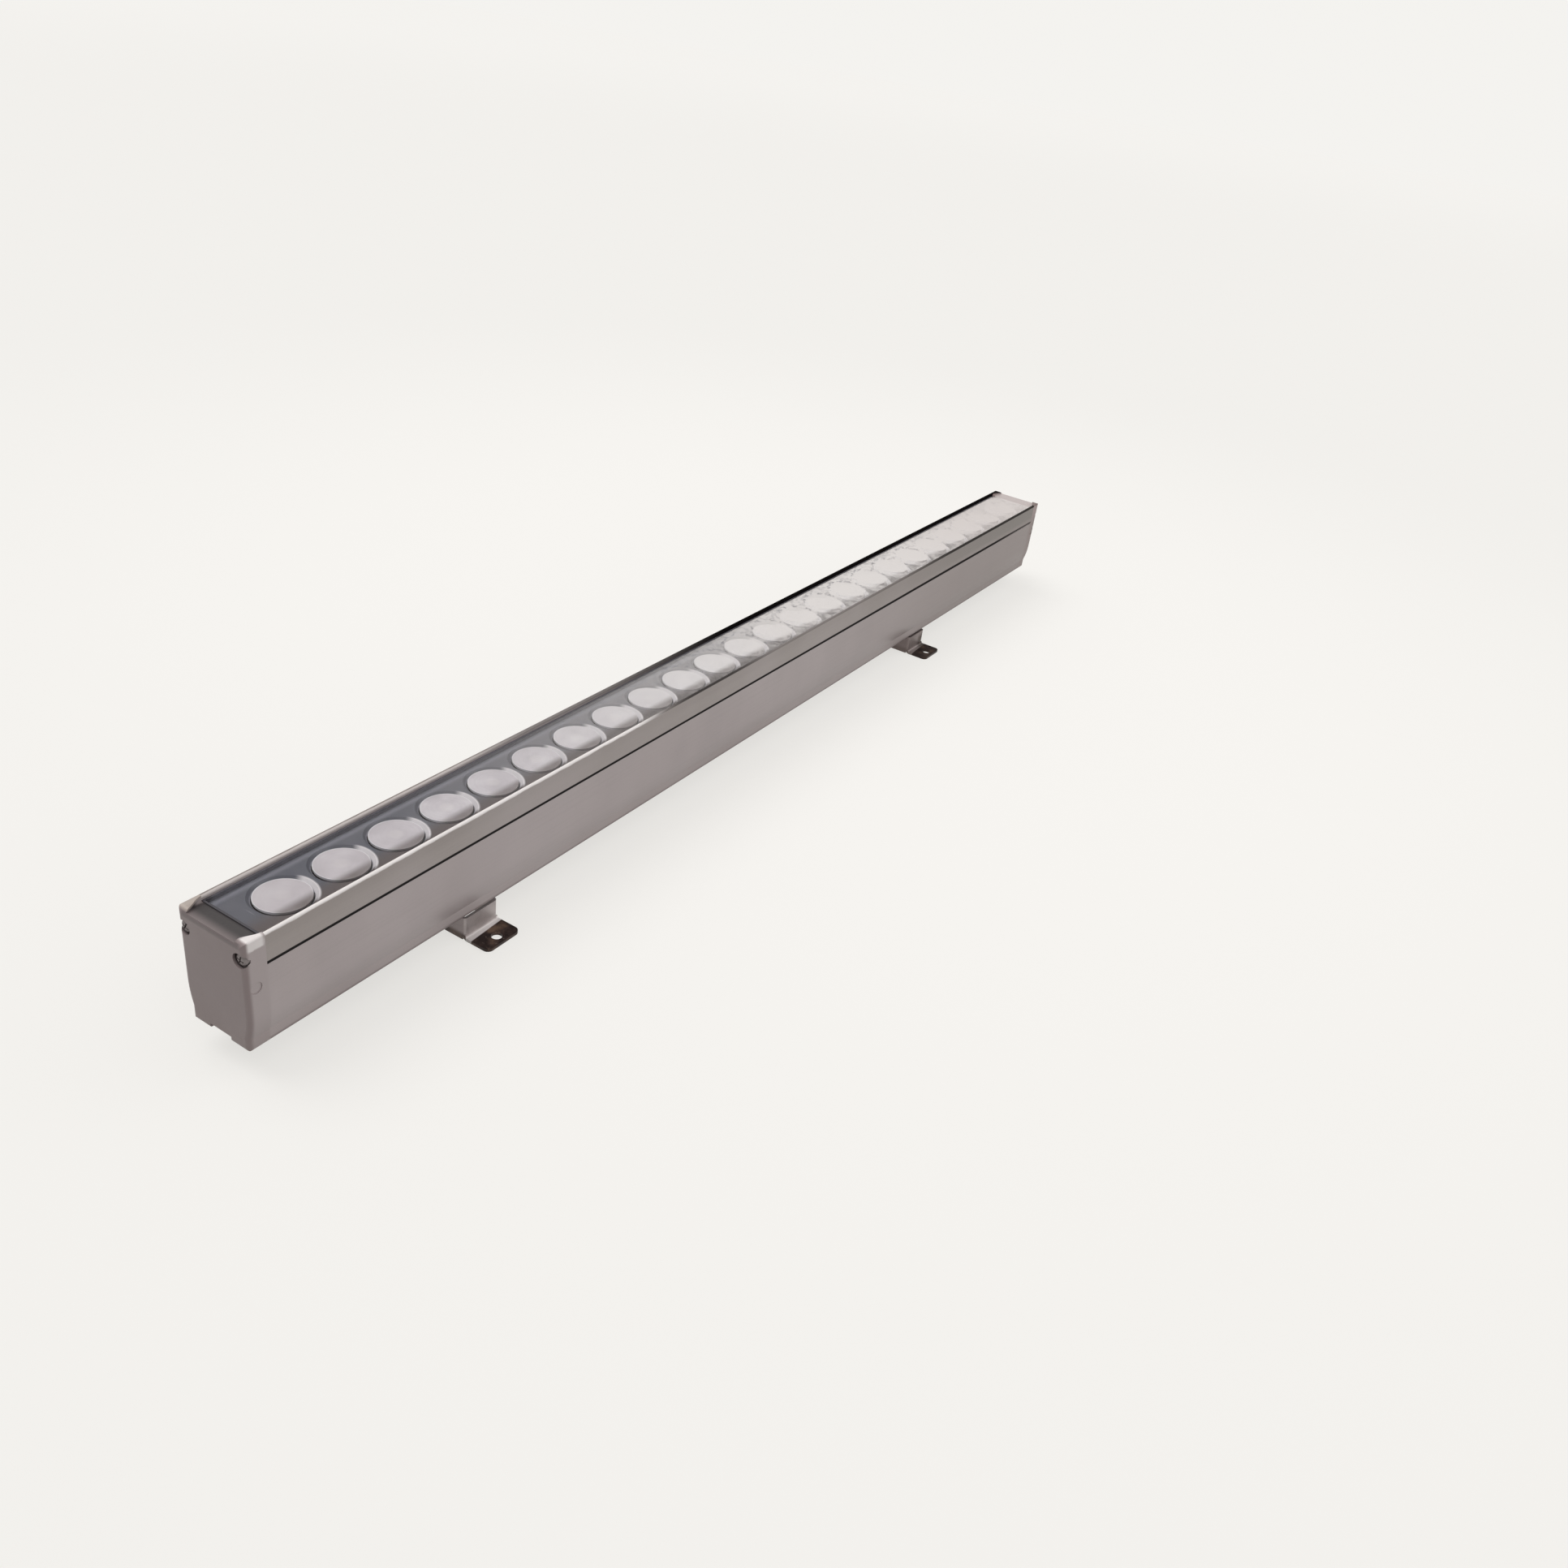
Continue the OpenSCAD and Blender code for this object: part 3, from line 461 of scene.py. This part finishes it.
def lens_finish():
    """Frosted pale lens: beaded face, soft rings, a paler middle, painted light on the rim and
    painted shade on the front. A painted sheen whitens the lenses from the near end to the
    middle of the light."""
    material, f = new_finish("lens_acrylic")
    where, x, y, z = f.place()
    r = from_lens(x, y)[1]
    beads = f.node("ShaderNodeTexVoronoi", {"Vector": where, "Scale": 620.0})
    haze = f.noise(where, 55.0, 3.0)
    rings = ((r * 2.4).math("SINE") * 0.5 + 0.5) * r.step(4.0, 9.0)
    middle = r.step(5.5, 3.0)
    # painted light on the rim against the shade round the lens, and painted shade on the front
    rim = r.step(LENS_R - 0.6, LENS_R - 0.1)
    front = (y * -1.0).step(6.0, 12.5)
    # a painted sheen, paler toward the middle and darker at the near end
    painted_sheen = x.step(-320.0, -40.0)
    near_end = x.step(-330.0, -480.0)
    base = f.ramp(haze, [
        (0.3, srgb(196, 188, 192)), (0.52, srgb(210, 202, 206)), (0.72, srgb(222, 216, 218))])
    base = f.coats(base, [
        (rings, 0.10, srgb(176, 168, 172)),
        (middle, 0.22, srgb(236, 230, 226)),
        (painted_sheen, 0.7, srgb(236, 232, 231)),
        (near_end, 0.5, srgb(196, 186, 188)),
        (rim, 0.8, srgb(240, 236, 238)),
        (front, 0.5 + haze * 0.7, srgb(112, 100, 98))])
    face = z.step(60.0, 64.0)
    f.finish(principled(f, base_color=base, roughness=0.34 + haze * 0.12,
                        normal=f.bump(beads * face, 0.12, 0.35),
                        coat_weight=0.25, coat_roughness=0.15))
    return material


def plate_finish():
    """Slate plate: paler toward the middle of the light, painted brown shade along the front,
    painted light along the back and round the window lips against their shade, and a painted
    reflection on one side of each flared window."""
    material, f = new_finish("plate_coat")
    where, x, y = f.place()[:3]
    along, r = from_lens(x, y)
    cloud = f.noise(where, 30.0, 3.0)
    grain = f.noise(where, 1500.0, 2.0)
    forward = y * -1.0
    toward_middle = x.step(-460.0, -120.0)
    # painted brown shade along the front, painted light along the back against the rail's shadow
    front = forward.step(2.0, 15.0)
    back = y.step(15.5, 19.5)
    between = forward.step(10.0, 15.0) * r.step(17.0, 19.0) * x.step(-300.0, -100.0)
    row = x.math("ABSOLUTE").step(ROW_HALF + 1, ROW_HALF)
    # painted light round each window's lip, against its shade
    lip = r.step(WINDOW_R + 0.9, WINDOW_R + 0.2) * row
    # a painted reflection on one side of each window
    toward_shine = (along * SHINE_SIDE[0] + y * SHINE_SIDE[1]) / r
    crescent = toward_shine.step(0.66, 0.88) * r.step(WINDOW_R + 0.1, WINDOW_R + 0.4)
    crescent = crescent * r.step(WINDOW_R + 3.8, WINDOW_R + 2.4) * row
    base = f.coats(f.mix(cloud.step(0.35, 0.7), srgb(80, 81, 92), srgb(96, 95, 103)), [
        (toward_middle, 0.75, srgb(134, 130, 133)),
        (front, 0.9, srgb(90, 78, 76)),
        (between, 0.8, srgb(56, 45, 44)),
        (back, 0.6, srgb(150, 149, 158)),
        (grain.step(0.5, 0.9), 0.2, srgb(86, 86, 92)),
        (lip, 0.9, srgb(168, 166, 176)),
        (crescent, 0.75 + cloud * 0.5, srgb(226, 220, 222))])
    f.finish(principled(f, base_color=base, roughness=0.42 + grain * 0.1,
                        normal=f.bump(grain, 0.01, 0.4), coat_weight=0.1, coat_roughness=0.3))
    return material


def glass_finish():
    """Clear cover glass: see-through by Fresnel, and veiled where it is seen at a low angle.
    Past the middle, dark smudges and fine veins break the veil round the lenses."""
    material, f = new_finish("cover_glass")
    where, x, y = f.place()[:3]
    r = from_lens(x, y)[1]
    smear = f.noise(where, 14.0, 4.0, stretch=(1.0, 3.0, 1.0))
    streak = f.noise(where, 60.0, 4.0, stretch=(1.0, 2.2, 1.0))
    patch = f.noise(where, 90.0, 5.0)
    vein = (f.noise(where, 130.0, 6.0) - 0.5).math("ABSOLUTE").step(0.05, 0.012)
    mirror = f.node("ShaderNodeFresnel", {"IOR": 1.5})
    # The veil comes where Fresnel's share is high, and sooner past the middle of the light
    low_angle = (mirror + x.step(-90.0, 70.0) * 0.028).step(0.067, 0.18)
    veil = low_angle * (0.78 + smear * 0.3 - streak.step(0.55, 0.75) * 0.14) + mirror * 0.3
    # It is broken between the lenses and round their outlines, most of all in this stretch
    broken = (x.step(470.0, 250.0) * 0.75 + 0.25) * x.step(-300.0, -20.0)
    between = r.step(14.0, 17.0) * broken
    outline = (r - (WINDOW_R + 0.2)).math("ABSOLUTE").step(2.6, 0.6) * broken
    smudge = (y * -1.0).step(3.0, 14.0) * between * (0.45 + patch.step(0.42, 0.58) * 0.55)
    veil = veil * (1.0 - smudge * 0.55) * (1.0 - (outline * 0.35 + between * 0.3) * vein)
    outward = 1.0 - f.node("ShaderNodeNewGeometry", out=6)
    clear = f.node("ShaderNodeBsdfTransparent", {"Color": GLASS_CLEAR})
    tint = f.mix(x.step(180.0, 440.0), GLASS_SHINE, GLASS_SHINE_FAR)
    shine = principled(f, base_color=tint, roughness=0.16 + smear * 0.06, metallic=1.0)
    f.finish(f.node("ShaderNodeMixShader", {0: veil * outward, 1: clear, 2: shine}))
    return material


def bead_finish():
    """Silicone bead round the glass: slate, and darker where it crosses the light's ends."""
    material, f = new_finish("glass_bead")
    where, x = f.place()[:2]
    grain = f.noise(where, 500.0, 2.0)
    base = f.mix(x.math("ABSOLUTE").step(480.0, 484.0), srgb(98, 96, 104), srgb(60, 57, 63))
    base = f.mix(grain.step(0.4, 0.8) * 0.3, base, srgb(70, 68, 74))
    f.finish(principled(f, base_color=base, roughness=0.5 + grain * 0.12,
                        normal=f.bump(grain, 0.02, 0.5)))
    return material


def plain_finish(name, tint, dull):
    """Moulded plastic, rubber or coated stock: fine grain and a little unevenness."""
    material, f = new_finish(name)
    where = f.where()
    cloud = f.noise(where, 45.0, 3.0)
    grain = f.noise(where, 900.0, 2.0)
    base = f.mix(cloud.step(0.35, 0.7), srgb(*tint), darker(tint, 0.8))
    f.finish(principled(f, base_color=base, roughness=dull + grain * 0.12,
                        normal=f.bump(grain, 0.02, 0.5)))
    return material


# Pieces made here

SHARP_ANGLE = math.radians(38)
SAME_POINT, NO_LENGTH = 1e-6, 1e-7


def mesh_piece(name, grids, material):
    """One object from surfaces, each a grid of points (rows, columns, 3) in metres."""
    points, faces, start = [], [], 0
    for grid in grids:
        rows, columns = grid.shape[:2]
        index = start + np.arange(rows * columns).reshape(rows, columns)
        quads = np.stack([index[:-1, :-1], index[:-1, 1:], index[1:, 1:], index[1:, :-1]], -1)
        points.append(grid.reshape(-1, 3))
        faces.append(quads.reshape(-1, 4))
        start += rows * columns
    data = bpy.data.meshes.new(name)
    data.from_pydata(np.concatenate(points), [], np.concatenate(faces).tolist())
    made = bpy.data.objects.new(name, data)
    bpy.context.scene.collection.objects.link(made)
    clean_mesh(data)
    data.materials.append(material)
    data.polygons.foreach_set("use_smooth", np.ones(len(data.polygons), bool))
    data.set_sharp_from_angle(angle=SHARP_ANGLE)
    return made


def clean_mesh(data):
    """Merges doubled points at seams and poles, and turns the faces outward."""
    work = bmesh.new()
    work.from_mesh(data)
    bmesh.ops.remove_doubles(work, verts=work.verts, dist=SAME_POINT)
    bmesh.ops.dissolve_degenerate(work, edges=work.edges, dist=NO_LENGTH)
    bmesh.ops.recalc_face_normals(work, faces=work.faces)
    work.to_mesh(data)
    work.free()


def body_point(x, y, z):
    """Body millimetres to the part's frame in metres, for arrays or numbers."""
    return np.stack(np.broadcast_arrays(x + BODY_X, y + BODY_Y, z + BODY_Z), -1) * MM


def ring_rows(radii, heights, angle):
    """Polar rows about an axis: each radius, a number or an array over angle, at its height."""
    r = np.stack([np.broadcast_to(row, angle.shape) for row in radii])
    h = np.stack([np.broadcast_to(row, angle.shape) for row in heights])
    return r * np.cos(angle), r * np.sin(angle), h


def full_turn(steps):
    """Angles once round in equal steps, with the first angle again at the end."""
    return np.linspace(0, 2 * np.pi, steps + 1)


def cross_edge(angle, reach=2.3, half=0.5):
    """Outline of a cross: the nearer of an arm's end, reach / cos, and its side, half / sin."""
    along = np.maximum(np.abs(np.cos(angle)), np.abs(np.sin(angle)))
    beside = np.minimum(np.abs(np.cos(angle)), np.abs(np.sin(angle)))
    return np.minimum(reach / along, half / np.maximum(beside, 1e-6))


def hex_edge(angle, apothem):
    """Outline of a hexagon with a flat at a quarter turn: apothem / cos of the angle from the
    nearest flat's middle."""
    from_flat = (angle - np.pi / 2 + np.pi / 6) % (np.pi / 3) - np.pi / 6
    return apothem / np.cos(from_flat)


def head_rows(outer, side, rise, edge, depth):
    """Screw head from the driver recess out: recess floor, its wall with a chamfer, a dome whose
    height is side + (rise - side) * sqrt(1 - (r / outer)^2), and the wall down to the seat."""
    def dome(r):
        return side + (rise - side) * np.sqrt(np.clip(1 - (r / outer) ** 2, 0, 1))
    chamfer, seat_chamfer = 0.12, 0.1
    lip = edge + chamfer
    radii = [edge * 0, edge * 0.5, edge * 0.9, edge, lip]
    heights = [dome(edge * 0) - depth, dome(edge * 0.5) - depth * 0.96,
               dome(edge * 0.9) - depth * 0.86, dome(edge) - chamfer, dome(lip)]
    for share in np.linspace(0, 1, 14)[1:]:
        r = lip + (outer - lip) * np.sin(share * np.pi / 2)
        radii.append(r)
        heights.append(dome(r))
    return radii + [outer, outer - seat_chamfer], heights + [seat_chamfer, 0.0]


def thread_rows(core, crest, pitch, start, end):
    """Ridged shank: radii that swing between core and crest once each pitch, from start to end."""
    steps = int(abs(end - start) / pitch) * 4
    heights = np.linspace(start, end, steps + 1)
    wave = np.abs((np.arange(steps + 1) / 4) % 1 - 0.5) * 2
    return list(core + (crest - core) * wave), list(heights)


def cap_screw_piece(material):
    """Four pan-head screws along X, one in each cap recess, with cross recesses and ridged
    shanks."""
    angle = full_turn(144)
    radii, heights = head_rows(outer=4.0, side=1.0, rise=3.0, edge=cross_edge(angle), depth=1.5)
    shank_r, shank_h = thread_rows(core=1.35, crest=1.65, pitch=0.8, start=-0.6, end=-16.9)
    radii += [1.65, 1.65] + shank_r + [0.7, 0.0]
    heights += [0.0, -0.5] + shank_h + [-17.8, -18.0]
    u, v, h = ring_rows(radii, heights, angle)
    grids = []
    for end in (-1, 1):
        for side in (-1, 1):
            turn = 0.4 * end + 0.9 * side  # each cross stands at an angle of its own
            y = u * math.cos(turn) - v * math.sin(turn)
            z = u * math.sin(turn) + v * math.cos(turn)
            grids.append(body_point(end * (SCREW_SEAT + h), side * PORT_Y + y, PORT_Z + z))
    return mesh_piece("cap_screws_cross", grids, material)


def pivot_screw_piece(side_name, material):
    """Two button-head screws on one foot's pivot line, with hexagon sockets and ridged shanks."""
    seat, tip = 15.3, 6.3
    angle = full_turn(96)
    socket = hex_edge(angle, apothem=1.5)
    radii, heights = head_rows(outer=4.5, side=1.0, rise=2.8, edge=socket, depth=1.6)
    shank_r, shank_h = thread_rows(core=2.1, crest=2.5, pitch=0.8, start=-0.8,
                                   end=tip - seat + 0.8)
    radii += [2.5, 2.5] + shank_r + [1.6, 0.0]
    heights += [0.0, -0.6] + shank_h + [tip - seat, tip - seat]
    u, v, h = ring_rows(radii, heights, angle)
    grids = [body_point(FOOT_X[side_name] + end * (seat + h), u, PIVOT_Z + v) for end in (-1, 1)]
    return mesh_piece("pivot_screws_socket_" + side_name, grids, material)


def slot_screw_piece(side_name, material):
    """Socket-head screw that draws the pivot block up to its nut: knurled head, ridged shank."""
    low, tip = -15.4, 7.6
    head, head_r, ridges, floor_h, neck_r = 4.8, 4.75, 36, 2.6, 3.0
    angle = full_turn(144)
    knurl = head_r + 0.07 + 0.08 * np.cos(ridges * angle)
    socket = hex_edge(angle, apothem=2.5)
    radii = [0.0, socket * 0.6, socket, socket + 0.15, 4.5, head_r]
    heights = [floor_h + 0.3, floor_h, floor_h, 0.0, 0.0, 0.3]
    radii += [knurl, knurl, head_r, 4.4, neck_r, neck_r]
    heights += [0.5, head - 0.4, head - 0.2, head, head, head + 0.6]
    shank_r, shank_h = thread_rows(core=2.6, crest=neck_r, pitch=1.0, start=head + 0.9,
                                   end=tip - low - 0.9)
    radii += shank_r + [2.0, 0.0]
    heights += shank_h + [tip - low, tip - low]
    u, v, h = ring_rows(radii, heights, angle)
    grid = body_point(FOOT_X[side_name] + u, v, low + h)
    return mesh_piece("slot_screw_socket_" + side_name, [grid], material)


def chamfered_hex(angle, corner, lip, low, high):
    """Rows of a hexagon whose corners a cone cuts at both ends, as on a turned nut."""
    flat = hex_edge(angle, corner * math.cos(math.pi / 6))
    cone, full = 0.8, corner - 0.15
    limits = [(low, lip), (low + cone, full), (high - cone, full), (high, lip)]
    rows = [(h, np.minimum(flat, limit)) for h, limit in limits]
    return [r for h, r in rows], [h for h, r in rows]


def gland_nut_piece(material):
    """Domed gland nut: hexagon, then a ribbed dome whose radius falls as a quarter ellipse to the
    mouth, less 0.3 mm in each of 24 grooves, and the threaded bore inside."""
    angle = full_turn(192)
    start, hex_h, length, mouth = 505.2, 9.0, 14.8, 4.5
    dome_r, dome_fall, groove_depth, grooves = 9.4, 4.4, 0.3, 24
    radii, heights = chamfered_hex(angle, corner=10.9, lip=9.75, low=0.0, high=hex_h)
    ribs = 0.5 - 0.5 * np.cos(grooves * angle)
    for share in np.linspace(0, 1, 16):
        fall = 1 - math.sqrt(1 - (share * 0.96) ** 2)
        groove = groove_depth * math.sin(math.pi * min(1.0, share * 1.15)) * ribs
        radii.append(dome_r - dome_fall * fall - groove)
        heights.append(hex_h + (length - hex_h - 0.3) * share)
    bore_r, bore_h = thread_rows(core=7.65, crest=7.9, pitch=1.5, start=hex_h - 0.4, end=0.6)
    radii += [5.7, 5.4, mouth + 0.3, mouth, mouth, 7.65] + bore_r + [7.65, radii[0]]
    heights += [length - 0.1, length, length, length - 0.3, hex_h, hex_h] + bore_h + [0.0, 0.0]
    u, v, h = ring_rows(radii, heights, angle)
    return mesh_piece("gland_nut_ribbed", [body_point(start + h, u, GLAND_Z + v)], material)


def gland_body_piece(material):
    """Gland body: threaded stub through the cap, chamfered hexagon flange and threaded sleeve."""
    angle = full_turn(144)
    start, face, flange, length = 485.0, 15.0, 5.0, 28.0
    bore_r, seat_r, seat_h = 5.0, 6.1, length - 7.0
    stub_r, stub_h = thread_rows(core=7.2, crest=7.6, pitch=1.5, start=0.9, end=face - 0.6)
    hex_r, hex_h = chamfered_hex(angle, corner=11.0, lip=10.0, low=face, high=face + flange)
    sleeve_r, sleeve_h = thread_rows(core=7.2, crest=7.6, pitch=1.5,
                                     start=face + flange + 0.6, end=length - 0.7)
    radii = [bore_r, 7.0] + stub_r + [7.5] + hex_r + [7.5] + sleeve_r
    radii += [6.9, seat_r, seat_r, bore_r, bore_r]
    heights = [0.0, 0.0] + stub_h + [face] + hex_h + [face + flange] + sleeve_h
    heights += [length, length, seat_h, seat_h, 0.0]
    u, v, h = ring_rows(radii, heights, angle)
    return mesh_piece("gland_body_threaded", [body_point(start + h, u, GLAND_Z + v)], material)


# Studio

def camera():
    """The photograph's camera: found by fitting the body's edges, in the part's frame."""
    turn, fall, roll = 0.4925999, 0.53047104, 0.14307405
    focal_px, size_px = 1669.18977, 1932
    place = (-0.8423619, -0.4790043, 0.5228520)
    level = math.cos(fall)
    ahead = Vector((math.cos(turn) * level, math.sin(turn) * level, -math.sin(fall)))
    right = ahead.cross(Vector((0, 0, 1))).normalized()
    up = right.cross(ahead)
    tilted_right = math.cos(roll) * right + math.sin(roll) * up
    tilted_up = math.cos(roll) * up - math.sin(roll) * right
    data = bpy.data.cameras.new("camera")
    data.sensor_width = 36.0
    data.lens = focal_px / size_px * data.sensor_width
    data.clip_start, data.clip_end = 0.02, 60
    made = bpy.data.objects.new("camera", data)
    made.matrix_world = Matrix((
        (tilted_right.x, tilted_up.x, -ahead.x, place[0]),
        (tilted_right.y, tilted_up.y, -ahead.y, place[1]),
        (tilted_right.z, tilted_up.z, -ahead.z, place[2]),
        (0, 0, 0, 1)))
    bpy.context.scene.collection.objects.link(made)
    bpy.context.scene.camera = made


def seen_directly(f):
    """1 for rays that show the backdrop: from the camera, or through gloss or glass."""
    path = f.tree.nodes.new("ShaderNodeLightPath")
    camera_ray, glossy_ray, transmission_ray = (
        Wire(f, path.outputs[f"Is {kind} Ray"]) for kind in ("Camera", "Glossy", "Transmission"))
    return (camera_ray + glossy_ray + transmission_ray).math("MINIMUM", 1.0)


def surround():
    """Even white surround for lighting, seen as the backdrop colour."""
    made = bpy.data.worlds.new("surround")
    made.use_nodes = True
    made.node_tree.nodes.clear()
    f = Finish(made.node_tree)
    backdrop = f.node("ShaderNodeBackground", {0: BACKDROP, 1: 1.0})
    light = f.node("ShaderNodeBackground", {0: (1, 0.985, 0.975, 1), 1: SURROUND_SHARE})
    shown = f.node("ShaderNodeMixShader", {0: seen_directly(f), 1: light, 2: backdrop})
    f.node("ShaderNodeOutputWorld", {0: shown})
    bpy.context.scene.world = made


def floor():
    """Pale floor: a share of its tone is lit, which keeps the shadow, and the rest is given."""
    half, low = 9.0, -0.0001
    square = np.array([[[-half, -half, low], [half, -half, low]],
                       [[-half, half, low], [half, half, low]]])
    made = mesh_piece("floor", [square], floor_finish())
    if made.data.polygons[0].normal.z < 0:
        made.data.flip_normals()


def floor_finish():
    """Off-white paper: faint fibres, and a painted pool of light: a slow fall in tone round the
    middle.
    """
    material, f = new_finish("floor_paper")
    where = f.where()
    fibre = f.noise(where, 6.0, 3.0)
    middle = (0.25, 0.1, 0.0)
    away = f.node("ShaderNodeVectorMath", {0: where, 1: middle}, out=1, operation="DISTANCE")
    # painted pool of light, paler in the middle
    tone = f.mix(away.step(0.25, 1.25), FLOOR_MIDDLE, FLOOR_RING)
    tone = f.mix(away.step(3.5, 8.5), tone, BACKDROP)
    lit_tone = f.mix(fibre * 0.04, f.mix(1 - FLOOR_LIT, tone, (0, 0, 0, 1)), (0.3, 0.3, 0.3, 1))
    lit = f.node("ShaderNodeBsdfDiffuse", {0: lit_tone})
    given = f.node("ShaderNodeEmission", {0: tone, 1: 1 - FLOOR_LIT})
    shown = f.node("ShaderNodeAddShader", {0: lit, 1: given})
    paper = f.node("ShaderNodeMixShader", {0: seen_directly(f), 1: lit, 2: shown})
    below = f.node("ShaderNodeNewGeometry", out=6)
    clear = f.node("ShaderNodeBsdfTransparent")
    f.finish(f.node("ShaderNodeMixShader", {0: below, 1: paper, 2: clear}))
    return material


def sun(name, source, share, spread, tint, in_gloss=True):
    """Sun from the direction of source that gives a level floor share of full white. Its disc
    is spread degrees wide."""
    data = bpy.data.lights.new(name, "SUN")
    toward = Vector(source).normalized()
    data.energy = share * math.pi / toward.z
    data.angle = math.radians(spread)
    data.color = tint
    made = bpy.data.objects.new(name, data)
    made.rotation_euler = toward.to_track_quat("Z", "Y").to_euler()
    made.visible_glossy = in_gloss
    bpy.context.scene.collection.objects.link(made)


def dress():
    """Gives every CAD node its finish and stands finer screws in for the plain ones."""
    nodes = frame["nodes"]
    slots = {s["node"]: s["material_slot"] for s in frame["record"]["subparts"]}

    finishes = {
        "extrusion": extrusion_finish("extrusion"),
        "casting": casting_finish("casting"),
        "foot_steel": foot_finish("near"),
        "fastener_steel": steel_finish("fastener_steel", (186, 184, 182)),
        "cover_glass": glass_finish(),
        "lens_acrylic": lens_finish(),
        "plate_coat": plate_finish(),
        "holder_plastic": plain_finish("holder_plastic", (226, 224, 221), 0.45),
        "board_white": plain_finish("board_white", (238, 236, 230), 0.3),
        "led_phosphor": plain_finish("led_phosphor", (232, 206, 110), 0.3),
        "driver_shell": plain_finish("driver_shell", (48, 48, 51), 0.5),
        "wire_sheath": plain_finish("wire_sheath", (36, 36, 37), 0.5),
        "gland_plastic": plain_finish("gland_plastic", (34, 34, 36), 0.42),
        "seal_rubber": plain_finish("seal_rubber", (27, 27, 29), 0.6),
    }
    own = {
        "foot_far": foot_finish("far"),
        "rail_front": extrusion_finish("extrusion_front_rim", front=True),
        "rail_back": extrusion_finish("extrusion_back_rim", back=True),
        "cap_near": casting_finish("casting_near_cap", end=-1),
        "cap_far": casting_finish("casting_far_cap", end=1),
        "glass_seal": bead_finish(),
        "seam_seals": plain_finish("seam_rubber", (12, 11, 12), 0.8),
    }
    for name, piece in nodes.items():
        piece.data.materials.clear()
        piece.data.materials.append(own.get(name) or finishes[slots[name]])

    steel, black = finishes["fastener_steel"], finishes["gland_plastic"]
    painted = steel_finish("painted_screw", (136, 129, 129), 0.45)
    stand_in(cap_screw_piece(painted), "cap_screws", "lamp")
    stand_in(gland_nut_piece(black), "gland_nut", "lamp")
    stand_in(gland_body_piece(black), "gland_body", "lamp")
    for side in FOOT_X:
        carriage = "carriage_" + side
        stand_in(pivot_screw_piece(side, steel), "pivot_screws_" + side, carriage)
        stand_in(slot_screw_piece(side, steel), "slot_screw_" + side, carriage)


def stand_in(piece, node, body):
    """Shows piece for a CAD node, on the same body."""
    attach(piece, body)
    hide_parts(node)


def studio():
    """Surround, floor and lights, which together light the open floor to full white."""
    surround()
    floor()
    sun("key", source=(-0.12, 0.42, 0.9), share=0.34, spread=40, tint=(1, 0.99, 0.98))
    sun("front", source=(0.36, -0.9, 0.62), share=0.14, spread=90, tint=(1, 0.99, 0.985),
        in_gloss=False)


camera()
dress()
studio()
bpy.context.scene.view_settings.view_transform = "Standard"
